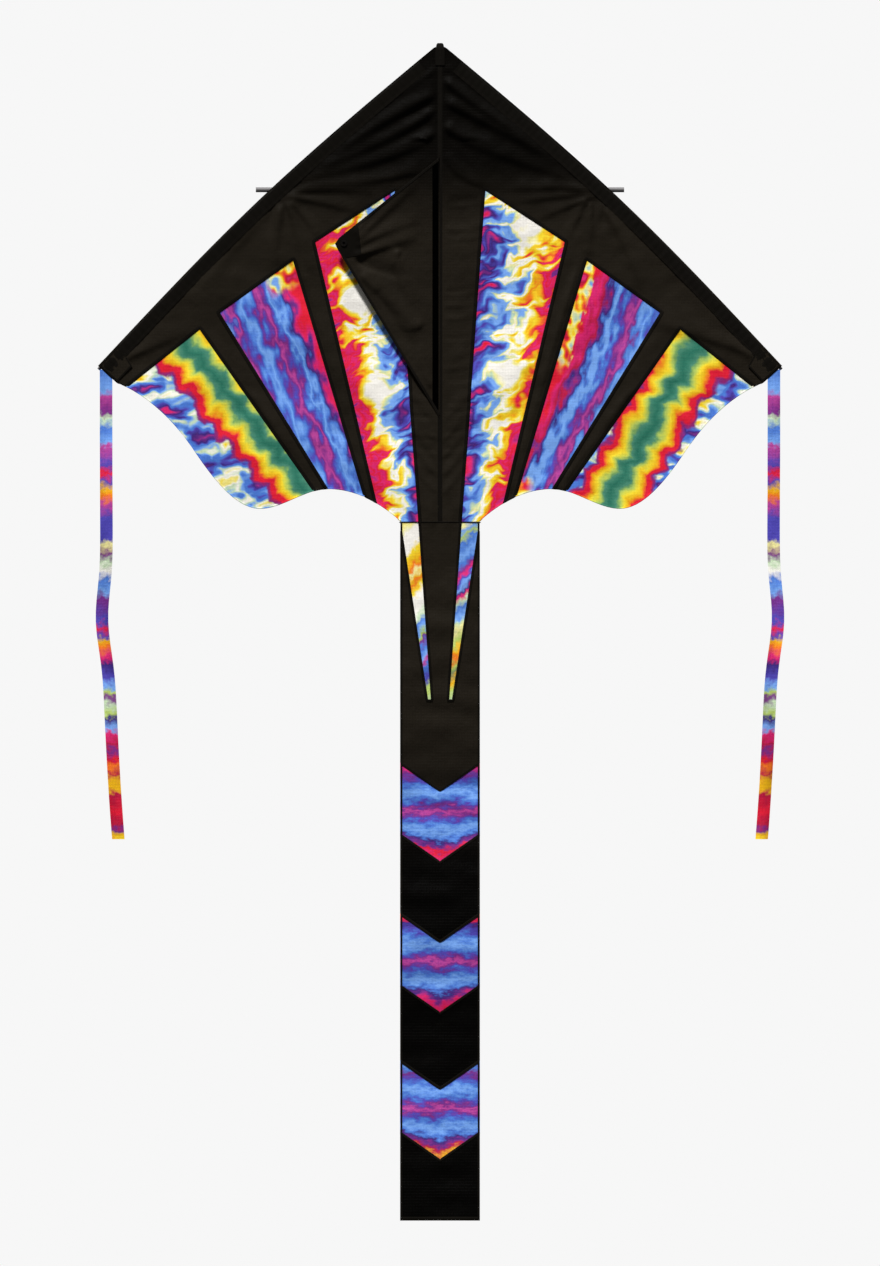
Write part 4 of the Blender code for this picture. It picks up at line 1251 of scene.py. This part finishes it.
def wingtip(side, word):
    """The patch that reinforces the wingtip, and the stitching round its edge."""
    node = f"wingtip_patch_{word}"
    middle = (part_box(node)[0].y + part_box(node)[1].y) / 2
    points, faces = net([cad_outline(node)], 0.003)
    x, down = np.array(points).T
    ripple = 0.00012 * np.sin(x * 900.0) * np.sin(down * 700.0)
    y = middle + ripple
    pattern = np.column_stack([x * side, down, np.zeros_like(x)])
    patch = add_object(f"wingtip_reinforcing_{word}", in_space(x, y, down), faces, pattern)
    face_viewer(patch)
    finish_piece(patch, BLACK, 0.0005)
    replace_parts(patch, node)
    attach(patch, f"wing_{word}")
    loop = max(borders(points, faces), key=len)

    def level(x, down):
        return np.full_like(x, SAIL_MIDDLE - middle)

    edge = strip_piece(f"wingtip_stitching_{word}", loop, -0.0028, -0.0004, TAPE, OVER, level, 0.0001)
    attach(edge, f"wing_{word}")


# ---------------------------------------------------------------- spreader
def spreader_sleeves():
    """Flexible vinyl sleeves that lead each spreader rod into the connector on the spine."""
    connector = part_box("spreader_connector")
    middle = (connector[0] + connector[1]) / 2
    for side, word in SIDES:
        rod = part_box(f"spreader_rod_{word}")
        start = connector[1].x * side
        rod_start = min(abs(rod[0].x), abs(rod[1].x))
        end = (rod_start + 0.012) * side
        rows = []
        steps = 24
        for i in range(steps + 1):
            x = start + (end - start) * i / steps
            ridge = 0.00018 * math.sin(i * math.pi / 2) * (0 < i < steps)
            radius = 0.0031 + ridge
            turns = [math.tau * k / 16 for k in range(17)]
            ring = [(radius * math.cos(turn), radius * math.sin(turn)) for turn in turns]
            rows.append([(x, middle.y + y, middle.z + z) for y, z in ring])
        sleeve = band_piece(f"spreader_sleeve_{word}", rows, VINYL, None)
        with editing(sleeve) as mesh:
            bmesh.ops.remove_doubles(mesh, verts=mesh.verts, dist=0.00001)
            bmesh.ops.recalc_face_normals(mesh, faces=mesh.faces)
        thicken(sleeve, 0.0007)
        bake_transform(sleeve)


# ---------------------------------------------------------------- keel
def standing_outline(node):
    """The outline of a plate that leans out of the sail's plane, without its hole, as (x, down)."""
    mesh = welded(node)
    mesh.normal_update()
    faces = {face for face in mesh.faces if face.normal.y < -0.9}
    left = [edge for edge in mesh.edges if sum(face in faces for face in edge.link_faces) == 1]
    loops = []
    while left:
        edge = left.pop(0)
        loop = [edge.verts[0], edge.verts[1]]
        while loop[-1] != loop[0]:
            onward = next(e for e in left if loop[-1] in e.verts)
            left.remove(onward)
            loop.append(onward.other_vert(loop[-1]))
        loops.append([(vert.co.x, NOSE_Z - vert.co.z) for vert in loop[:-1]])
    mesh.free()
    return max(loops, key=lambda loop: max(p[0] for p in loop) - min(p[0] for p in loop))


# The keel's folds, as start, bend and end in millimetres out and down, then width and depth.
KEEL_FOLDS = (
    ((150, 366), (104, 350), (40, 330), 7, 3.0),
    ((148, 350), (100, 320), (30, 300), 8, 2.6),
    ((146, 338), (96, 292), (40, 236), 8, 2.8),
    ((150, 330), (110, 280), (60, 226), 6, 2.0),
    ((146, 372), (110, 390), (60, 400), 8, -2.6),
    ((70, 350), (84, 392), (44, 446), 8, 3.0),
    ((138, 392), (96, 440), (40, 480), 9, 2.2),
    ((112, 420), (80, 470), (36, 540), 9, -2.0),
    ((30, 480), (60, 500), (70, 470), 8, 2.0),
    ((14, 590), (30, 560), (34, 520), 7, 1.8),
)


def keel_surface():
    """A function from places on the keel to points: out from its hinge, down, and how far off its flat plate.

    Also returns how a point's x becomes its distance out."""
    hinge = Vector(FOLDS["keel_swing"]["pos_m"])
    reach = hinge.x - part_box("keel_panel")[0].x
    tilt = math.atan2(hinge.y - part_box("keel_panel")[0].y - 0.0004, reach)
    folds = []
    for start, bend, end, width, depth in KEEL_FOLDS:
        path = [(x / 1000, down / 1000) for x, down in bent(start, bend, end)]
        folds.append((path, width / 1000, depth * KEEL_FOLD_GAIN / 1000, 0.4))

    def lift(out, down):
        total = 0.0008 * wave(out, down, 0.07, 21)
        for path, width, depth, fade in folds:
            total += crease(out, down, path, width, depth, fade)
        total *= smooth_step(out, 0.0, 0.02) * (1 - smooth_step(out, reach - 0.05, reach - 0.02))
        return np.clip(total, -0.0030, 0.0048)

    def stood(out, down, above):
        off = lift(out, down) + above
        x = hinge.x - out * math.cos(tilt) + off * math.sin(tilt)
        y = hinge.y - out * math.sin(tilt) - off * math.cos(tilt)
        return in_space(x, y, down)

    return stood, lambda x: -(x - hinge.x) / math.cos(tilt)


def keel_sheet(name, sheet, stood, layer, pattern, material):
    """A flat-cut net stood on the keel's surface."""
    points, faces = sheet
    out, down = np.array(points).T
    obj = add_object(name, stood(out, down, layer), faces, pattern(out, down))
    face_viewer(obj)
    finish_piece(obj, material)
    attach(obj, "keel")
    return obj


def down_the_seam(out, down):
    """Cloth places for a tape that runs down the keel's seam."""
    return np.column_stack([down, out, out * 0])


def on_keel(out, down):
    """Cloth places for a piece that is cut with the keel."""
    return np.column_stack([out, down, out * 0 + 0.009])


def keel_root_tape(stood):
    """A tape beside the keel's seam, made near-black and matt as painted shade for the valley where the
    keel's root turns into the seam.
    """
    top, foot = KEEL_TOP + 0.006, KEEL_FOOT - 0.004
    corners = [(0.0025, top), (0.0130, top + 0.011), (0.0130, foot - 0.022), (0.0025, foot)]
    sheet = net([[Vector(corner) for corner in corners]], 0.004)
    # Painted shade: near-black colours and no specular, darker than the other tapes.
    painted_shade_black = black_tape("matt_tape", (1, 1, 1), (4, 4, 4), (2, 2, 2), 0.0)
    keel_sheet("keel_root_tape", sheet, stood, 0.0004, down_the_seam, painted_shade_black)


def keel_hem(stood, outline):
    """The hem round the keel's free edges."""
    first = max(range(len(outline)), key=lambda i: (outline[i][0] < 0.003, outline[i][1]))
    turned = outline[first:] + outline[:first]
    path = resampled([point for point in turned if point[0] > 0.001])
    across = 4
    places, pattern, length = [], [], 0.0
    for i, point in enumerate(path):
        length += (point - path[i - 1]).length if i else 0
        ahead = (path[min(i + 1, len(path) - 1)] - path[max(i - 1, 0)]).normalized()
        inward = Vector((-ahead.y, ahead.x))
        for k in range(across):
            spot = point + inward * (0.0045 * k / 3)
            places.append((max(spot.x, 0.0), spot.y, 0.0004 + 0.0002 * math.sin(math.pi * k / 3)))
            pattern.append((length, 0.0015 * (k - 1.5), 0.0))
    verts = stood(*np.array(places).T)
    rows = [verts[i * across : (i + 1) * across] for i in range(len(path))]
    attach(band_piece("keel_hem", rows, TAPE, CLOTH, pattern), "keel")


def keel():
    """The keel and its tip patches, each bent a little out of its flat CAD plate, with a tape at its root
    that is darkened as painted shade, and a hem.
    """
    stood, out_from = keel_surface()
    sheets = {}
    for name, node, layer, material, slot in (
        ("keel_cloth", "keel_panel", 0.0, BLACK, "black_sailcloth"),
        ("keel_patch_front", "keel_tip_patch_front", 0.0006, TAPE, "black_tape"),
        ("keel_patch_back", "keel_tip_patch_back", -0.0006, TAPE, "black_tape"),
    ):
        loop = [(out_from(x), down) for x, down in standing_outline(node)]
        sheets[name] = net([loop], 0.004)
        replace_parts(keel_sheet(name, sheets[name], stood, layer, on_keel, material), node)
    keel_root_tape(stood)
    keel_hem(stood, max(borders(*sheets["keel_cloth"]), key=len))


# ---------------------------------------------------------------- tail and streamers
def turn_at(piece, number):
    """Places a piece for a tail section: above the last fold, its transform is baked into its mesh.

    Below the last fold it rides on tail_4."""
    if number > len(TAIL_HINGES):
        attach(piece, "tail_4")
        return
    above = "airframe" if number == 1 else f"tail_{number - 1}"
    place = TAIL_HINGES[number - 1]
    stiff = 0.0 if number == 1 else BEND
    start = (0, SAIL_MIDDLE, NOSE_Z - place + stiff)
    end = (0, SAIL_MIDDLE, NOSE_Z - place - BEND)
    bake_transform(piece)


def tail_cloth(name, nodes, number, cut=None, above=True):
    """One length of the tail's black cloth, placed by turn_at for the given section."""
    sheet = net([grown(cad_outline(node), LAP) for node in nodes], cut=cut, above=above)
    piece = cloth_piece(name, sheet, BLACK)
    turn_at(piece, number)
    return piece


def side_hem(name, side, top, foot, number):
    """The rolled hem down one side of a length of tail."""
    x = side * (TAIL_HALF - 0.0002)
    ends = (top, foot) if side < 0 else (foot, top)
    hem = strip_piece(name, [(x, ends[0]), (x, ends[1])], -0.0004, 0.0028, TAPE, OVER * 0.7, cloth_lift)
    turn_at(hem, number)


def tail_lengths():
    """The black cloth: the yoke in two lengths, then one length round each fold, and the end."""
    yoke = ("tail_yoke", "tail_black_1_above")
    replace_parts(tail_cloth("tail_yoke_top", yoke, 1, YOKE_CUT, True), "tail_yoke")
    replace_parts(tail_cloth("tail_yoke_bottom", yoke, 2, YOKE_CUT, False), "tail_black_1_above")
    for number in (1, 2):
        nodes = (f"tail_black_{number}_below", f"tail_black_{number + 1}_above")
        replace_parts(tail_cloth(f"tail_black_{number}", nodes, number + 2), *nodes)
    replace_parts(tail_cloth("tail_end", ("tail_black_3_below",), 5), "tail_black_3_below")


def tail_point(side, word):
    node = f"tail_point_{word}"
    sheet = net([grown(cad_outline(node), DYE_LAP)])
    dye = tie_dye_point(side, f"tie_dye_point_{word}")
    piece = cloth_piece(f"dyed_point_{word}", sheet, dye, UNDER, side)
    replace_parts(piece, node)
    turn_at(piece, 1)
    path = seam_path(sheet, on_tail_seam)
    turn_at(strip_piece(f"seam_point_{word}", path, -0.0005, 0.0035, TAPE, OVER, cloth_lift), 1)


def tail_chevron(number):
    """A dyed chevron and the seams along its upper and lower edges."""
    node = f"tail_chevron_{number}"
    top = NOSE_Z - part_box(node)[1].z
    sheet = net([grown(cad_outline(node), DYE_LAP)])
    dye = tie_dye_chevron(number, node + "_dye", top * 1000)
    piece = cloth_piece(f"dyed_chevron_{number}", sheet, dye, UNDER)
    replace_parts(piece, node)
    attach(piece, f"tail_{number + 1}")
    rim = max(borders(*sheet), key=len)
    for edge, pick, way in (("upper", min, 1), ("lower", max, -1)):
        middle = pick((p for p in rim if abs(p[0]) < 0.003), key=lambda p: p[1])
        sides = [[p for p in rim if end * p[0] > TAIL_HALF - 0.001] for end in (way, -way)]
        corners = [pick(near, key=lambda p: p[1]) for near in sides]
        path = [corners[0], middle, corners[1]]
        seam = strip_piece(f"seam_chevron_{number}_{edge}", path, -0.0005, 0.004, TAPE, OVER, cloth_lift)
        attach(seam, f"tail_{number + 1}")


def tail_edges():
    """The hems down the tail's sides and across its foot, and the seam that joins it to the sail."""
    breaks = [TAIL_TOP + 0.001, YOKE_CUT]
    breaks += [(TAIL_HINGES[n] + TAIL_HINGES[n + 1]) / 2 for n in (1, 2)] + [TAIL_HINGES[3] + 0.03, TAIL_END]
    for side, word in SIDES:
        for number, (top, foot) in enumerate(zip(breaks, breaks[1:])):
            side_hem(f"tail_hem_{word}_{number + 1}", side, top, foot, number + 1)
    across = [(-TAIL_HALF, TAIL_END), (TAIL_HALF, TAIL_END)]
    foot = strip_piece("tail_end_hem", across, 0.0, 0.006, TAPE, OVER * 0.7, cloth_lift)
    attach(foot, "tail_4")
    across = [(-TAIL_HALF, TAIL_TOP + 0.0002), (TAIL_HALF, TAIL_TOP + 0.0002)]
    seam = strip_piece("tail_seam", across, -0.0004, 0.0012, TAPE, OVER, cloth_lift)
    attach(seam, "airframe")


def tail():
    tail_lengths()
    for side, word in SIDES:
        tail_point(side, word)
    for number in (1, 2, 3):
        tail_chevron(number)
    tail_edges()


def ribbon_middle(word):
    """The ribbon's middle line, as downs and xs, read from its CAD sections."""
    downs, middles = [], []
    for number in (1, 2, 3):
        node = f"streamer_{word}_{number}"
        loop = cad_outline(node)
        top, foot = NOSE_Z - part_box(node)[1].z, NOSE_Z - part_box(node)[0].z
        for i in range(15):
            down = top + (foot - top) * i / 14
            near = [p for p in loop if abs(p[1] - down) < (foot - top) / 26]
            downs.append(down)
            middles.append(sum(p[0] for p in near) / len(near))
    return downs, middles


def streamer(side, word):
    """A ribbon in three lengths, divided midway between the streamer's folds."""
    dye = tie_dye_ribbon(f"tie_dye_ribbon_{word}")
    tab = f"streamer_tab_{word}"
    half = (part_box(tab)[1].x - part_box(tab)[0].x) / 2
    hinges = [NOSE_Z - FOLDS[f"streamer_{word}_flex_{n}"]["pos_m"][2] for n in (1, 2, 3)]
    downs, middles = ribbon_middle(word)
    top, foot = NOSE_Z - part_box(tab)[1].z + 0.004, downs[-1]
    cuts = [top, (hinges[0] + hinges[1]) / 2, (hinges[1] + hinges[2]) / 2, foot]
    bodies = [f"wing_{word}"] + [f"streamer_{word}_{n}" for n in (1, 2, 3)]
    steps, across = 60, 5

    def row_at(down):
        """A row of places across the ribbon, which sways, cups and twists more the lower it is."""
        middle = float(np.interp(down, downs, middles))
        loose = min(1.0, (down - top) / 0.08)
        sway = 0.0035 * loose * math.sin(down * 15 + side)
        twist = loose * (0.16 * math.sin(down * 6.5 - side) + 0.05 * math.sin(down * 31))
        row, spots = [], []
        for k in range(across):
            share = 2 * k / (across - 1) - 1
            cup = 0.0018 * share * share * math.sin(down * 9 + 2 * side) * loose
            ruffle = 0.0007 * share * math.sin(down * 70 + share) * loose
            reach = half * share
            y = SAIL_MIDDLE + 0.0002 + sway + cup + ruffle + reach * math.sin(twist)
            row.append((middle + reach * math.cos(twist), y, NOSE_Z - down))
            spots.append((reach * side, down, 0.0))
        return row, spots

    for number in range(3):
        high, drop = cuts[number], cuts[number + 1] - cuts[number]
        both = [row_at(high + drop * i / steps) for i in range(steps + 1)]
        pattern = [spot for _, spots in both for spot in spots]
        name = f"ribbon_{word}_{number + 1}"
        piece = band_piece(name, [row for row, _ in both], dye, CLOTH, pattern)
        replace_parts(piece, bodies[number + 1])
        if number == 0:
            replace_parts(piece, tab)
        place = Vector((side * STREAMER_X, SAIL_MIDDLE, NOSE_Z - hinges[number]))
        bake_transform(piece)


# ---------------------------------------------------------------- finishes on the CAD parts that stay
def set_finish(node, material):
    NODES[node].data.materials.clear()
    NODES[node].data.materials.append(material)


def frame_finishes():
    rod = fibreglass()
    for node in NODES:
        if "rod" in node:
            set_finish(node, rod)
        if "cap" in node or "fitting" in node or "connector" in node:
            set_finish(node, VINYL)
    set_finish("tow_grommet", dark_brass())


# ---------------------------------------------------------------- studio
AMBIENT = 0.13
BACKDROP = 0.93  # how bright the surroundings look to the camera
LIGHTS = (  # name, where it shines from, how soft it is in degrees, and its strength
    ("key", (-0.6, -1.3, 2.7), 8, 7.0),
    ("fill", (2.6, -3.0, 0.2), 40, 0.15),
    ("back", (1.2, 3.2, 2.0), 25, 2.0),
)
FLOOR_REACH = 12.0
FRAME_HEIGHT = 3.707 * TIP_X  # what the camera sees, top to bottom
FRAME_MIDDLE = 1.7275 * TIP_X  # how far below the nose tip its middle is


def linked(name, data):
    obj = bpy.data.objects.new(name, data)
    bpy.context.scene.collection.objects.link(obj)
    return obj


def lay_floor():
    """A pale floor that throws no light back, so that it doesn't fill the folds."""
    floor_z = NOSE_Z - TAIL_END - 0.06
    corners = [(x * FLOOR_REACH, y * FLOOR_REACH, floor_z) for x, y in ((-1, -1), (1, -1), (1, 1), (-1, 1))]
    mesh = bpy.data.meshes.new("floor")
    mesh.from_pydata(corners, [], [(0, 1, 2, 3)])
    floor = linked("floor", mesh)
    floor.visible_diffuse = False
    floor.visible_glossy = False
    paint = Pattern("floor_paint", "object")
    speck = paint.blotches(300.0)
    mesh.materials.append(paint.use(paint.mix(speck, (160, 160, 160), (168, 168, 168)), 0.8, speck, 0.0))


def surroundings():
    """Even light that is dim on the kite but bright where the camera sees it."""
    world = bpy.data.worlds.new("studio")
    bpy.context.scene.world = world
    world.use_nodes = True
    tree = world.node_tree
    light, seen = tree.nodes["Background"], tree.nodes.new("ShaderNodeBackground")
    for node, strength in ((light, AMBIENT), (seen, BACKDROP)):
        node.inputs["Color"].default_value = (1.0, 1.0, 1.0, 1.0)
        node.inputs["Strength"].default_value = strength
    path = tree.nodes.new("ShaderNodeLightPath")
    mix = tree.nodes.new("ShaderNodeMixShader")
    for slot, socket in zip(mix.inputs, (path.outputs["Is Camera Ray"], light.outputs[0], seen.outputs[0])):
        tree.links.new(socket, slot)
    tree.links.new(mix.outputs[0], tree.nodes["World Output"].inputs[0])


def hang_lights():
    for name, source, softness, power in LIGHTS:
        lamp = linked(name, bpy.data.lights.new(name, "SUN"))
        lamp.data.angle = math.radians(softness)
        lamp.data.energy = power
        lamp.location = source
        lamp.rotation_euler = (-Vector(source)).to_track_quat("-Z", "Y").to_euler()


def set_camera():
    """Looks straight at the keel side."""
    view = linked("camera", bpy.data.cameras.new("camera"))
    view.data.type = "ORTHO"
    view.data.ortho_scale = FRAME_HEIGHT
    view.location = (0, -4.0, NOSE_Z - FRAME_MIDDLE)
    view.rotation_euler = (math.radians(90), 0, 0)
    bpy.context.scene.camera = view
    bpy.context.scene.view_settings.view_transform = "Standard"


# ---------------------------------------------------------------- the kite
BLACK = black_sailcloth()
TAPE = black_tape()
VINYL = vinyl()
for side, word in SIDES:
    sail(side, word)
    leading_sleeve(side, word)
    wingtip(side, word)
    streamer(side, word)
spine_sleeve("upper")
spine_sleeve("lower")
centre_seam(NOSE_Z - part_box("nose_webbing")[0].z - 0.002, TAIL_TOP - 0.001)
nose_webbing()
spreader_sleeves()
keel()
tail()
frame_finishes()
lay_floor()
surroundings()
hang_lights()
set_camera()
